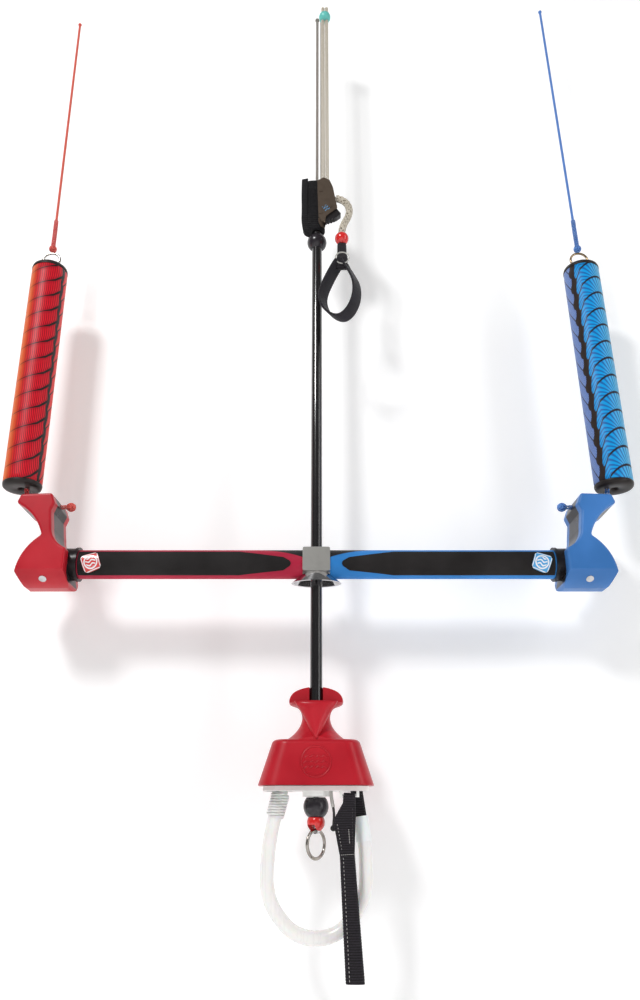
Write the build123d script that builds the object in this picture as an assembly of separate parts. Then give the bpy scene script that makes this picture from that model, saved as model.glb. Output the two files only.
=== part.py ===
from build123d import *
import math
import os

# Kitesurf control bar set, hanging as it does under a kite. +X runs along the bar, +Y points away
# from the rider's chest side, +Z points up the lines. Levels are heights above the harness hook's
# seat in the loop; save() moves everything so that the front line's upper end is the origin.

os.makedirs("parts", exist_ok=True)

# ---- levels along the lines (mm above the hook seat) ----
TOP = 945.0                  # upper end of the front line, the origin
TUBE_TOP = 640.0             # upper end of the depower tube; cleat, ball and sleeve follow it
BAR_Z = 280.0                # axis of the bar at rest
HEAD_Z = 100.0               # lower rim of the release handle
TUBE_BOTTOM = HEAD_Z + 12
STOPPER_Z = TUBE_TOP - 18    # centre of the stopper ball
SLEEVE_Z = (TUBE_TOP - 6, TUBE_TOP + 57)
CLEAT_Z = TUBE_TOP + 13      # pivot of the cleat's jaw
PULL_Z = CLEAT_Z - 44        # centre of the bead on the trim pull
BEAD_Z = TOP - 16            # bead at the top of the trim rope

# ---- clearances ----
FIT = 0.05                   # radial running clearance of a shaft or ball in its bore
GAP = 0.5                    # clearance between loose neighbours

# ---- depower tube ----
TUBE_D = 10.0
TUBE_BORE = 6.0
CORE_LINE_D = TUBE_BORE - 1.0
STOPPER_D = 19.5

# ---- bar ----
GRIP_D = 25.0
SPAR_D = GRIP_D - 7.0
SPAR_WALL = 2.0
HUB = (23.4, GRIP_D + 2.0, GRIP_D - 4.0)     # hub block, X Y Z
HUB_TOP = BAR_Z + GRIP_D / 2 - 0.5
TILT_Z = BAR_Z + 4.0         # centre of the ball bush inside the hub
MOUTH = (21.5, GRIP_D / 2 + 1.0)             # half width and half depth of the flared mouth
MOUTH_Z = (HUB_TOP - HUB[2] - 8.0, HUB_TOP - HUB[2])
MOUTH_WALL = 2.5
BUSH_R = TUBE_D / 2 + 2.5
BUSH_H = 9.0
PAD_T = 1.2                  # depth of the textured pad let into the grip
PAD_PROUD = 0.4
BADGE = 15.0

# ---- bar ends ----
GRIP_END = 204.0             # where the grip meets the end's collar
COLLAR_D = GRIP_D + 3.0
COLLAR_LEN = 13.0
CHEEK_T = 9.0
CHEEK_CORNER = 2.5           # rounding of the outline's corners
CHEEK_EDGE = 2.0             # rounding of the outer face's edge
SOLE = BAR_Z - 18.5          # under this level the two cheeks meet beneath the core
BARREL_Z = BAR_Z + 4.0       # the cheeks turn under like a barrel about this level
BARREL_R = 27.0
CORE_T = COLLAR_D
SCREW_R = 3.2
SCREW_X = GRIP_END + 25.0
SCREW_TURN = 52.0            # how far round the barrel the screws sit, degrees below level
PIVOT = (GRIP_END + 52.0, BAR_Z + 53.0)      # where the leader bends as a float swings
KNOT_X = GRIP_END + 13.8

# ---- floats and lines ----
FLOAT_D = 34.0
FLOAT_LEN = 240.0
FLOAT_Z = BAR_Z + 70.0
CAP_T = 5.0
LEADER_D = 4.4
LEADER_BORE = LEADER_D + 1.6
KNOT_D = 2 * LEADER_D - 0.2
LINE_D = 2.6
LINE_SLEEVE_D = LINE_D + 2.0
LINE_SLEEVE_LEN = 36.0
RING_D = 19.2
RING_WIRE = 2.2
LINE_KNOT_D = 8.0

# ---- release head ----
BASE_BOTTOM = (90.0, 46.0)
BASE_TOP = (68.0, 36.0)
BASE_H = 34.0
SHELL_WALL = 4.0
HEAD_DEPTH = 0.78            # the neck and finger flange are narrower front to back
NECK_DEPTH = BASE_TOP[1] - 2.4               # the neck's flare is flat in front and behind
LEDGE_Z = HEAD_Z + 63.0
PLATE_T = 4.0                # thickness of the white base plate
PLATE = (BASE_BOTTOM[0] - 8.0, BASE_BOTTOM[1] - 8.0)
HANDLE_BORE = TUBE_D + 2 * GAP

# ---- chicken loop ----
LOOP_D = 10.5
LOOP_END = (-26.5, HEAD_Z - 2.0)             # upper left end of the loop's centre line
LOOP_PIN_X = 32.3
RIB_SLEEVE_D = LOOP_D + 2.9
END_SLEEVE_D = LOOP_D + 1.3

# ---- swivel and leash ring ----
BOSS_D = 21.0
BOSS_T = 4.0
BALL_D = 19.6
BALL_Z = HEAD_Z - 15.0
STOP_D = 14.0
STOP_Z = HEAD_Z - 26.5
EYE_Z = HEAD_Z - 31.8
STEM_R = 2.2
LEASH_RING_R = 10.15
LEASH_WIRE = 2.7
RING_TURN = 50.0             # turn of the leash ring about the vertical, degrees

# ---- safety stick ----
STICK_X = 25.4
STICK_Y = -14.0
STICK_PIN_Z = HEAD_Z - 7.5
STICK_PIN_R = 1.25
STICK_T = 6.5
STICK_LEN = 84.0

# ---- trim cleat and pull ----
ROPE_D = 4.0
ROPE_X = TUBE_D / 2 + 3.5
ROPE_Y = -TUBE_D / 2 - 8.2
CHEEK_Y = (-TUBE_D / 2 - 13.5, -TUBE_D / 2 - 4.5)      # front faces of the two cleat cheeks
CLEAT_T = 1.5
CLEAT_PIN_R = 2.0
JAW_PIVOT = (13.0, CLEAT_Z)
PULL_X = 24.6
PULL_Y = ROPE_Y - 8.8
TAIL_D = 7.4
TRIM_BEAD_D = 13.6
STRAP_W = 15.0
STRAP_T = 2.2


def save(shape, node):
    """Write one node, moved so that the front line's upper end is the origin."""
    solids = shape if isinstance(shape, list) else [shape]
    moved = [Pos(0, 0, -TOP) * s for s in solids]
    export_step(moved[0] if len(moved) == 1 else Compound(children=moved), f"parts/{node}.step")


def rod(p, q, radius):
    """A straight round bar from p to q."""
    line = Line(p, q)
    return sweep(Plane(origin=line @ 0, z_dir=line % 0) * Circle(radius), path=line)


def corner_radii(points):
    """The largest arc each corner has room for: 0.45 of its shorter run."""
    radii = []
    for a, b, c in zip(points, points[1:], points[2:]):
        u = Vector(*b) - Vector(*a)
        v = Vector(*c) - Vector(*b)
        half = math.radians(u.get_angle(v)) / 2
        radii.append(0.45 * min(u.length, v.length) / math.tan(half))
    return radii


def rope(name, points, diameter):
    """A round rope along straight runs joined by tangent arcs."""
    if len(points) == 2:
        path = Line(*points)
        radii = []
    else:
        radii = corner_radii(points)
        path = FilletPolyline(*points, radius=radii)
    tube = sweep(Plane(origin=path @ 0, z_dir=path % 0) * Circle(diameter / 2), path=path)
    share = tube.volume / (math.pi * diameter ** 2 / 4 * path.length)
    print(name, "length", round(path.length, 1), "radii", [round(r, 1) for r in radii],
          "volume share", round(share, 4))
    return tube


def torus_at(centre, radius, wire, turn=0.0):
    """A wire ring standing upright, turned about the vertical."""
    return Pos(*centre) * Rot(0, 0, turn) * Rot(90, 0, 0) * Torus(radius, wire / 2)


def oval(width, depth, height, z, corner):
    return Pos(0, 0, z) * extrude(RectangleRounded(width, depth, corner), height)


# ---- spine: the tube, what it carries at the top, and the release core at the bottom ----

def build_tube():
    length = TUBE_TOP - TUBE_BOTTOM
    outer = Pos(0, 0, TUBE_BOTTOM) * extrude(Circle(TUBE_D / 2), length)
    bore = Pos(0, 0, TUBE_BOTTOM) * extrude(Circle(TUBE_BORE / 2), length)
    save(outer - bore, "depower_tube")
    save(rope("core_line", [(0, 0, TUBE_BOTTOM - 4), (0, 0, TUBE_TOP + 20)], CORE_LINE_D), "core_line")
    ball = Pos(0, 0, STOPPER_Z) * Sphere(STOPPER_D / 2)
    save(ball - Pos(0, 0, STOPPER_Z) * Cylinder(TUBE_D / 2, STOPPER_D), "stopper_ball")


def build_neoprene():
    low, high = SLEEVE_Z
    outer = Pos(-3, 0, low) * extrude(SlotOverall(TUBE_D + 12, TUBE_D + 5), high - low)
    tube = Pos(0, 0, low) * extrude(Circle(TUBE_D / 2), TUBE_TOP - low)
    line = Pos(0, 0, TUBE_TOP) * extrude(Circle(CORE_LINE_D / 2), 20)
    flap = Pos(-TUBE_D / 2 - 6, 0, low - 5) * extrude(SlotOverall(7, 3), 5)
    save(outer + flap - tube - line, "neoprene_sleeve")


def build_front_lines():
    start = SLEEVE_Z[1]
    for name, x, y, diameter in [("front_line", 0.0, 0.0, 3.0), ("safety_front_line", 4.4, 0.0, 2.0)]:
        line = rope(name, [(x, y, start), (x, y, TOP - 5)], diameter)
        knot = Pos(x, y, TOP - 4) * Sphere(diameter * 0.8)
        save(line + knot, name)


def build_trim_rope():
    strands = []
    for side in (-1, 1):
        x = ROPE_X + side * (ROPE_D / 2 + 0.1)
        strands.append(rope("trim_rope", [(x, ROPE_Y, CLEAT_Z + 26), (x, ROPE_Y, BEAD_Z + 14)], ROPE_D))
    save(strands, "trim_rope")
    bead = Pos(ROPE_X, ROPE_Y, BEAD_Z) * Sphere(6.6)
    for side in (-1, 1):
        x = ROPE_X + side * (ROPE_D / 2 + 0.1)
        bead -= Pos(x, ROPE_Y, BEAD_Z) * Cylinder(ROPE_D / 2, 20)
    save(bead, "trim_top_bead")


def build_cleat():
    outline = [(0.4, 33), (7, 37), (13, 33.5), (16.5, 24), (18, 14), (20.7, -2),
               (9.2, -12.5), (8, -20), (4, -18), (1.7, -12.5)]
    face = make_face(Polyline(*[(x, CLEAT_Z + z) for x, z in outline], close=True))
    face = fillet(face.vertices(), 1.2)
    pins = [(3.7, CLEAT_Z + 20), (3.7, CLEAT_Z - 8)]
    holes = pins + [JAW_PIVOT]
    cheeks = []
    for y in CHEEK_Y:
        plate = extrude(Plane(origin=(0, y, 0), x_dir=(1, 0, 0), z_dir=(0, -1, 0)) * face, -CLEAT_T)
        for x, z in holes:
            plate -= Pos(x, y + CLEAT_T / 2, z) * Rot(90, 0, 0) * Cylinder(CLEAT_PIN_R, 2 * CLEAT_T)
        cheeks.append(plate)
    save(cheeks, "cleat_cheeks")
    span = CHEEK_Y[1] - CHEEK_Y[0] + CLEAT_T
    middle = CHEEK_Y[0] + span / 2
    save([Pos(x, middle, z) * Rot(90, 0, 0) * Cylinder(CLEAT_PIN_R, span + 0.8) for x, z in holes],
         "cleat_pins")
    width = CHEEK_Y[1] - CHEEK_Y[0] - CLEAT_T - 2 * GAP
    x, z = JAW_PIVOT
    jaw_outline = [(x - 4, z + 2), (x + 4, z + 3), (x + 11.5, z - 8), (x + 6, z - 13), (x - 5, z - 17.5),
                   (x - 3.5, z - 9)]
    jaw_face = fillet(make_face(Polyline(*jaw_outline, close=True)).vertices(), 1.0)
    jaw = extrude(Plane(origin=(0, middle, 0), x_dir=(1, 0, 0), z_dir=(0, -1, 0)) * jaw_face,
                  width / 2, both=True)
    jaw -= Pos(x, middle, z) * Rot(90, 0, 0) * Cylinder(CLEAT_PIN_R + FIT, 20)
    for step in range(5):
        tooth = Pos(x - 2.5 + 2.9 * step, middle, z - 16.4 + 1.1 * step)
        jaw -= tooth * Rot(90, 0, 0) * Cylinder(0.8, 20)
    save(jaw, "cleat_jaw")


def build_release_core():
    low = HEAD_Z
    core = oval(64, 26, 12, low, 8)
    core += Pos(0, 0, low) * extrude(Circle(TUBE_D / 2 + 4.5), 20)
    core -= Pos(0, 0, TUBE_BOTTOM) * extrude(Circle(TUBE_D / 2), 40)
    core -= Pos(0, 0, low) * extrude(Circle(CORE_LINE_D / 2 + 3.5), 8)
    core -= Pos(0, 0, low + 8) * extrude(Circle(CORE_LINE_D / 2), 8)
    for x in (LOOP_END[0], LOOP_PIN_X):
        core -= Pos(x, 0, low) * Box(20, 15, 16)
    for x in (LOOP_END[0], LOOP_PIN_X):
        core -= Pos(x, 0, low + 9) * Rot(90, 0, 0) * Cylinder(1.5, 60)
    save(core, "release_core")
    save([Pos(x, 0, low + 9) * Rot(90, 0, 0) * Cylinder(1.5, 25.6) for x in (LOOP_END[0], LOOP_PIN_X)],
         "release_pins")
    coil = Pos(0, 0, low + 20.4) * extrude(Circle(TUBE_D / 2 + 4.3) - Circle(TUBE_D / 2 + 2), 4)
    save(coil, "return_spring")


def build_base_plate():
    low = HEAD_Z - PLATE_T
    plate = oval(PLATE[0], PLATE[1], PLATE_T - GAP, low, 12)
    plate += Pos(0, 0, low - BOSS_T) * extrude(Circle(BOSS_D / 2), BOSS_T)
    plate -= Pos(LOOP_END[0] - 2, 0, low) * Box(20, RIB_SLEEVE_D + 2, 12)
    plate -= Pos(LOOP_PIN_X - 0.8, 0, low) * Box(13, 13, 12)
    plate -= Pos(0, 0, low) * Cylinder(2.6, 20)
    for x in (STICK_X - 6.5, STICK_X + 6.5):
        lug = Pos(x, STICK_Y, low - 1.8) * Box(2.0, 6, 3.6 + 2)
        plate += lug - Pos(x, STICK_Y, STICK_PIN_Z) * Rot(0, 90, 0) * Cylinder(STICK_PIN_R, 8)
    plate -= Pos(STICK_X, STICK_Y, STICK_PIN_Z) * Rot(0, 90, 0) * Cylinder(STICK_PIN_R, 20)
    save(plate, "base_plate")
    save(Pos(STICK_X, STICK_Y, STICK_PIN_Z) * Rot(0, 90, 0) * Cylinder(STICK_PIN_R, 15), "stick_pin")


def build_safety_line():
    points = [(11.5, -8.4, -4.4), (11.8, -9, -10), (13.2, -9.6, -15.5), (14.0, -9.4, -22), (13.2, -9, -29)]
    line = rope("safety_line", [(x, y, HEAD_Z + z) for x, y, z in points], 2.0)
    save(line + Pos(13.2, -9, HEAD_Z - 30.5) * Sphere(2.4), "safety_line")


# ---- release handle ----

def build_handle():
    low = HEAD_Z
    base = loft([Pos(0, 0, low) * RectangleRounded(*BASE_BOTTOM, 16),
                 Pos(0, 0, low + BASE_H) * RectangleRounded(*BASE_TOP, 13)])
    base = fillet(base.edges().group_by(Axis.Z)[-1], 4.0)
    profile = Line((0, low + 20), (27, low + 20))
    profile += Line((27, low + 20), (27, low + 33))
    profile += Spline((27, low + 33), (16.5, low + 40), (11.3, low + 52), (15, low + 59), (21.4, LEDGE_Z - 1),
                      (21.0, LEDGE_Z + 5), (14, low + 73.5), (6, low + 75.5))
    profile += Line((6, low + 75.5), (0, low + 75.5))
    profile += Line((0, low + 75.5), (0, low + 20))
    neck = revolve(Plane.XZ * make_face(profile), axis=Axis.Z)
    neck = scale(neck, by=(1, HEAD_DEPTH, 1))
    neck &= Pos(0, 0, low + 50) * Box(80, NECK_DEPTH, 100)
    cavity = loft([Pos(0, 0, low - 1) * RectangleRounded(BASE_BOTTOM[0] - 2 * SHELL_WALL + 0.6,
                                                         BASE_BOTTOM[1] - 2 * SHELL_WALL + 0.3, 13),
                   Pos(0, 0, low + 25) * RectangleRounded(BASE_TOP[0] - 2 * SHELL_WALL + 5,
                                                          BASE_TOP[1] - 2 * SHELL_WALL + 2, 10)])
    shell = base + neck - cavity
    shell -= Pos(0, -20 - 4, LEDGE_Z + 10) * Box(60, 40, 20)
    shell -= Pos(0, -20, LEDGE_Z + 10) * Box(HANDLE_BORE, 40, 20)
    shell -= Pos(0, 0, low + 40) * Cylinder(HANDLE_BORE / 2, 100)
    save(shell, "handle_shell")


# ---- chicken loop ----

def build_loop():
    seat = -LOOP_D / 2 - 0.05
    points = [LOOP_END, (-36.5, HEAD_Z - 42), (-37.2, 20.1), (-15.4, seat), (15.4, seat), (37.2, 20.1),
              (38, HEAD_Z - 48), (34.5, HEAD_Z - 24)]
    points = [(x, 0, z) for x, z in points]
    tube = rope("loop_tube", points, LOOP_D)
    start = Vector(*points[0])
    down = (Vector(*points[1]) - start).normalized()
    left = rod(start + down * 3.5, start + down * 21, RIB_SLEEVE_D / 2)
    left -= rod(start, start + down * 24, LOOP_D / 2)
    ribs = [rod(start + down * s, start + down * (s + 0.9), RIB_SLEEVE_D / 2 + 0.6)
            - rod(start, start + down * 24, RIB_SLEEVE_D / 2 - 0.2) for s in range(5, 20, 2)]
    for rib in ribs:
        left += rib
    end = Vector(*points[-1])
    up = (end - Vector(*points[-2])).normalized()
    right = rod(end - up * 16, end + up * 2, END_SLEEVE_D / 2)
    right -= rod(end - up * 18, end, LOOP_D / 2)
    web = Plane(origin=end + up * 2, x_dir=(0, 1, 0), z_dir=up)
    strap = extrude(web * RectangleRounded(4, 9.4, 1.2), 21)
    save(tube, "loop_tube")
    save(left, "loop_rib_sleeve")
    save(right, "loop_end_sleeve")
    save(strap, "loop_webbing")


# ---- swivel and leash ring ----

def build_swivel():
    top = HEAD_Z - PLATE_T - BOSS_T - GAP
    ball = Pos(0, 0, BALL_Z) * Sphere(BALL_D / 2)
    ball &= Pos(0, 0, top - 20) * Box(40, 40, 40)
    stop = Pos(0, 0, STOP_Z) * Sphere(STOP_D / 2)
    ball -= Pos(0, 0, STOP_Z) * Sphere(STOP_D / 2 + 0.1)
    turn = Rot(0, 0, RING_TURN)
    low, high = EYE_Z + 2.0, HEAD_Z + 6.8
    stem = Pos(0, 0, low) * extrude(Circle(STEM_R), high - low)
    stem += Pos(0, 0, high - 1.6) * extrude(Circle(2 * STEM_R), 1.6)
    stem += turn * (Pos(0, 0, EYE_Z) * Rot(0, 90, 0) * Cylinder(3.0, 2.4))
    stem -= turn * (Pos(0, 0, EYE_Z) * Rot(0, 90, 0) * Cylinder(LEASH_WIRE / 2 + 0.35, 10))
    stop -= turn * (Pos(0, 0, EYE_Z) * Box(30, 7, 7.2))
    stop -= Pos(0, 0, STOP_Z) * Cylinder(STEM_R, 20)
    ball -= Pos(0, 0, BALL_Z) * Cylinder(STEM_R, 30)
    save(ball, "swivel_ball")
    save(stop, "stop_bead")
    save(stem, "swivel_stem")
    save(torus_at((0, 0, EYE_Z - LEASH_RING_R), LEASH_RING_R, LEASH_WIRE, RING_TURN), "leash_ring")


# ---- safety stick ----

def build_stick():
    x = STICK_X
    low = HEAD_Z - 48
    neck = Pos(x, STICK_Y, STICK_PIN_Z) * Rot(0, 90, 0) * Cylinder(2.6, 9.4)
    face = make_face(Polyline((x - 4.7, STICK_PIN_Z), (x + 4.7, STICK_PIN_Z), (x + 4.0, low + 25),
                              (x + 3.3, low), (x - 7.5, low), (x - 11.6, low + 23),
                              (x - 4.7, STICK_PIN_Z - 5), close=True))
    web = extrude(Plane(origin=(0, STICK_Y, 0), x_dir=(1, 0, 0), z_dir=(0, -1, 0)) * face, 1.3, both=True)
    neck = neck + web
    neck -= Pos(x, STICK_Y, STICK_PIN_Z) * Rot(0, 90, 0) * Cylinder(STICK_PIN_R + FIT, 30)
    save(neck, "stick_webbing")
    top = (x - 2.1, STICK_Y, low)
    tip = (x + 2.6, STICK_Y, low - STICK_LEN)
    sleeve = loft([Pos(*top) * RectangleRounded(10.8, STICK_T - 1.5, 2.2),
                   Pos(*tip) * RectangleRounded(13.4, STICK_T + 0.5, 2.6)])
    core = loft([Pos(top[0], top[1], low - 6) * RectangleRounded(7.4, 2.6, 1.2),
                 Pos(tip[0] - 0.2, tip[1], tip[2] + 3) * RectangleRounded(9.6, 3.4, 1.6)])
    save(sleeve - core, "stick_sleeve")
    save(core, "stick_core")


# ---- trim pull ----

def build_trim_pull():
    tail = [(20.0, ROPE_Y, CLEAT_Z + 14), (29.0, ROPE_Y - 3, CLEAT_Z + 9), (34.4, PULL_Y + 3, CLEAT_Z - 9),
            (PULL_X, PULL_Y, PULL_Z + 14), (PULL_X, PULL_Y, PULL_Z + 5)]
    save(rope("trim_tail", tail, TAIL_D), "trim_tail")
    bead = Pos(PULL_X, PULL_Y, PULL_Z) * Sphere(TRIM_BEAD_D / 2)
    bead -= Pos(PULL_X, PULL_Y, PULL_Z + 12) * Box(16, 16, 14)
    bead &= Pos(PULL_X, PULL_Y, PULL_Z + 1) * Box(16, 16, 14)
    save(bead, "trim_bead")
    low = PULL_Z - 33
    y = PULL_Y
    neck_top = PULL_Z - 6.1
    neck = Pos(PULL_X, y, (neck_top + low - 1) / 2) * Box(9, 4.4, neck_top + 1 - low)
    neck = neck + Pos(PULL_X, y, low + 6) * Sphere(5.2)
    points = [(-7, 0), (-20.5, -33), (-19, -46), (-13, -57), (-1, -62), (9, -53), (15.5, -33),
              (15.5, -18), (7, 0)]
    outer = make_face(Polyline(*[(PULL_X + dx, low + dz) for dx, dz in points], close=True))
    outer = fillet(outer.vertices(), 4.0)
    inner = offset(outer, -STRAP_T - 0.6)
    band = Plane(origin=(0, y, 0), x_dir=(1, 0, 0), z_dir=(0, -1, 0)) * (outer - inner)
    strap = extrude(band, STRAP_W / 2, both=True)
    strap += neck
    save(strap, "trim_strap")
    ring = Pos(PULL_X, y - 3.2, low + 7.5) * Rot(90, 0, 0) * Torus(6.6, 0.7)
    save(ring, "trim_keeper_ring")


# ---- bar ----

def mouth_solid(grow):
    low, high = MOUTH_Z
    bottom = Pos(0, 0, low) * Ellipse(MOUTH[0] + grow, MOUTH[1] + grow)
    top = Pos(0, 0, high) * Ellipse(HUB[0] / 2 + grow, MOUTH[1] - 2 + grow)
    return loft([bottom, top])


def tube_way():
    """The double funnel that the depower tube needs as the bar tilts."""
    radius = TUBE_D / 2
    waist = Ellipse(radius + 2.2, radius + 1.2)
    below = loft([Pos(0, 0, MOUTH_Z[0] - 0.01) * Ellipse(MOUTH[0] - MOUTH_WALL, MOUTH[1] - MOUTH_WALL),
                  Pos(0, 0, TILT_Z - 2) * waist])
    above = loft([Pos(0, 0, TILT_Z + 2) * waist, Pos(0, 0, HUB_TOP + 0.01) * Ellipse(radius + 5, radius + 2)])
    return below + above + Pos(0, 0, TILT_Z) * Sphere(BUSH_R + FIT)


def build_hub():
    block = Pos(0, 0, HUB_TOP - HUB[2] / 2) * Box(*HUB)
    block = fillet(block.edges().filter_by(Axis.Y), 1.5)
    spigot_r = SPAR_D / 2 - SPAR_WALL
    for side in (-1, 1):
        block += Pos(side * (HUB[0] / 2 + 15), 0, BAR_Z) * Rot(0, 90, 0) * Cylinder(spigot_r, 30)
    save(block - tube_way(), "hub_block")
    save(mouth_solid(0) - tube_way(), "hub_mouth")
    bush = Pos(0, 0, TILT_Z) * Sphere(BUSH_R) & Pos(0, 0, TILT_Z) * Cylinder(20, BUSH_H)
    save(bush - Pos(0, 0, TILT_Z) * Cylinder(TUBE_D / 2 + FIT, 30), "centre_bush")


def pad_outline():
    """Front view of the textured pad, left side: straight edges and a rounded tip by the hub."""
    high = BAR_Z + GRIP_D / 2 - 3.7
    low = BAR_Z - GRIP_D / 2 + 1.3
    face = make_face(Polyline((-GRIP_END + 1, high), (-66, high), (-28, BAR_Z + 3), (-19, BAR_Z - 2.5),
                              (-28, BAR_Z - 8), (-66, low), (-GRIP_END + 1, low), close=True))
    return fillet(face.vertices().sort_by(Axis.X)[-3:], 3.0)


def build_grips():
    inner = HUB[0] / 2
    length = GRIP_END - inner
    x = -(GRIP_END + inner) / 2
    outline = Plane(origin=(0, 0, 0), x_dir=(1, 0, 0), z_dir=(0, -1, 0)) * pad_outline()
    window = extrude(outline, 30)
    ring_out = Pos(x, 0, BAR_Z) * Rot(0, 90, 0) * Cylinder(GRIP_D / 2 + PAD_PROUD, length)
    ring_in = Pos(x, 0, BAR_Z) * Rot(0, 90, 0) * Cylinder(GRIP_D / 2 - PAD_T, length)
    pad = (ring_out - ring_in) & window
    grip = Pos(x, 0, BAR_Z) * Rot(0, 90, 0) * Cylinder(GRIP_D / 2, length)
    grip -= Pos(x, 0, BAR_Z) * Rot(0, 90, 0) * Cylinder(SPAR_D / 2, length)
    grip -= pad
    grip -= mouth_solid(0)
    grip = grip.solids().sort_by(SortBy.VOLUME)[-1]
    badge = Pos(12.5 - GRIP_END, -GRIP_D / 2, BAR_Z - 1.5) * Rot(90, 0, 0) * Rot(0, 0, 20)
    badge = badge * extrude(RectangleRounded(BADGE, BADGE, 3.5), 3, both=True)
    skin = Pos(x, 0, BAR_Z) * Rot(0, 90, 0) * Cylinder(GRIP_D / 2 + PAD_PROUD + 0.8, length)
    badge = badge & skin
    badge -= Pos(x, 0, BAR_Z) * Rot(0, 90, 0) * Cylinder(GRIP_D / 2 + PAD_PROUD, length)
    spar_len = GRIP_END + COLLAR_LEN - inner
    spar = Pos(-inner - spar_len / 2, 0, BAR_Z) * Rot(0, 90, 0)
    spar = spar * (Cylinder(SPAR_D / 2, spar_len) - Cylinder(SPAR_D / 2 - SPAR_WALL, spar_len))
    save(grip, "grip_left")
    save(mirror(grip, about=Plane.YZ), "grip_right")
    save([pad, mirror(pad, about=Plane.YZ)], "grip_pads")
    save([badge, mirror(badge, about=Plane.YZ)], "grip_badges")
    save([spar, mirror(spar, about=Plane.YZ)], "bar_spars")


def at(dx, dz):
    """A point of a bar end's side view, from where the grip ends on the bar's axis."""
    return (GRIP_END + dx, BAR_Z + dz)


def end_outline():
    """Side profile of a bar end, drawn for the right end."""
    lines = Line(at(24.5, 58), at(51, 57)) + Line(at(51, 57), at(54, 49))
    lines += ThreePointArc(at(54, 49), at(36, 34), at(29.2, 20))
    lines += ThreePointArc(at(29.2, 20), at(42.5, 5.5), at(48, -12))
    lines += Line(at(48, -12), at(42.5, -22.5)) + Line(at(42.5, -22.5), at(4, -22.5))
    lines += Line(at(4, -22.5), at(7, -10)) + Line(at(7, -10), at(7, 8.5))
    lines += ThreePointArc(at(7, 8.5), at(16.5, 15), at(21.5, 28))
    lines += Line(at(21.5, 28), at(23.5, 42)) + Line(at(23.5, 42), at(21, 49)) + Line(at(21, 49), at(24.5, 58))
    return fillet(make_face(lines).vertices(), CHEEK_CORNER)


def build_end():
    upright = Plane(origin=(0, 0, 0), x_dir=(1, 0, 0), z_dir=(0, -1, 0))
    face = upright * end_outline()
    half = CORE_T / 2
    front = extrude(Pos(0, -half, 0) * face, CHEEK_T)
    front = fillet(front.faces().sort_by(Axis.Y)[0].edges(), CHEEK_EDGE)
    whole = extrude(face, half)
    below = Pos(GRIP_END + 30, 0, SOLE - 50) * Box(100, 100, 100)
    front += whole & below
    barrel = Pos(GRIP_END + 30, 0, BARREL_Z) * Rot(0, 90, 0) * Cylinder(BARREL_R, 100)
    barrel += Pos(GRIP_END + 30, 0, BARREL_Z + 50) * Box(100, 2 * BARREL_R, 100)
    front &= barrel
    rear = mirror(front, about=Plane.XZ)
    core = extrude(Pos(0, half, 0) * face, CORE_T) - below
    collar = Pos(GRIP_END + COLLAR_LEN / 2, 0, BAR_Z) * Rot(0, 90, 0) * Cylinder(COLLAR_D / 2, COLLAR_LEN)
    lip = Pos(GRIP_END + 1.2, 0, BAR_Z) * Rot(0, 90, 0) * Cylinder(COLLAR_D / 2 + 0.8, 2.4)
    core = core + (collar + lip)
    socket = Pos(GRIP_END + COLLAR_LEN / 2, 0, BAR_Z) * Rot(0, 90, 0) * Cylinder(SPAR_D / 2, COLLAR_LEN)
    core -= socket
    core -= rod((KNOT_X, 0, PIVOT[1]), (PIVOT[0] - 4, 0, PIVOT[1]), LEADER_D / 2)
    core -= Pos(PIVOT[0] + 1, 0, PIVOT[1] + 3.5) * Box(16, 14, 15)
    turn = math.radians(SCREW_TURN)
    screws = []
    for side in (-1, 1):
        out = Vector(0, side * math.cos(turn), -math.sin(turn))
        centre = Vector(SCREW_X, 0, BARREL_Z)
        head = rod(centre + out * (BARREL_R - 1.2), centre + out * (BARREL_R + 0.3), SCREW_R)
        shank = rod(centre + out * (BARREL_R - 9), centre + out * BARREL_R, SCREW_R / 2)
        screws.append(head + shank)
    for screw in screws:
        front -= screw
        rear -= screw
        core -= screw
    tail = rope("leader_tail", [(KNOT_X, 0, PIVOT[1]), (PIVOT[0] - 7, 0, PIVOT[1])], LEADER_D)
    knot = tail + Pos(KNOT_X, 0, PIVOT[1]) * Sphere(KNOT_D / 2)
    for side, place in (("right", None), ("left", Plane.YZ)):
        pieces = {"cheek_front": front, "cheek_rear": rear, "end_core": core, "leader_knot": knot}
        for name, piece in pieces.items():
            save(piece if place is None else mirror(piece, about=place), f"{name}_{side}")
    save(screws + [mirror(s, about=Plane.YZ) for s in screws], "end_screws")


# ---- floats, leaders and flying lines ----

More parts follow.
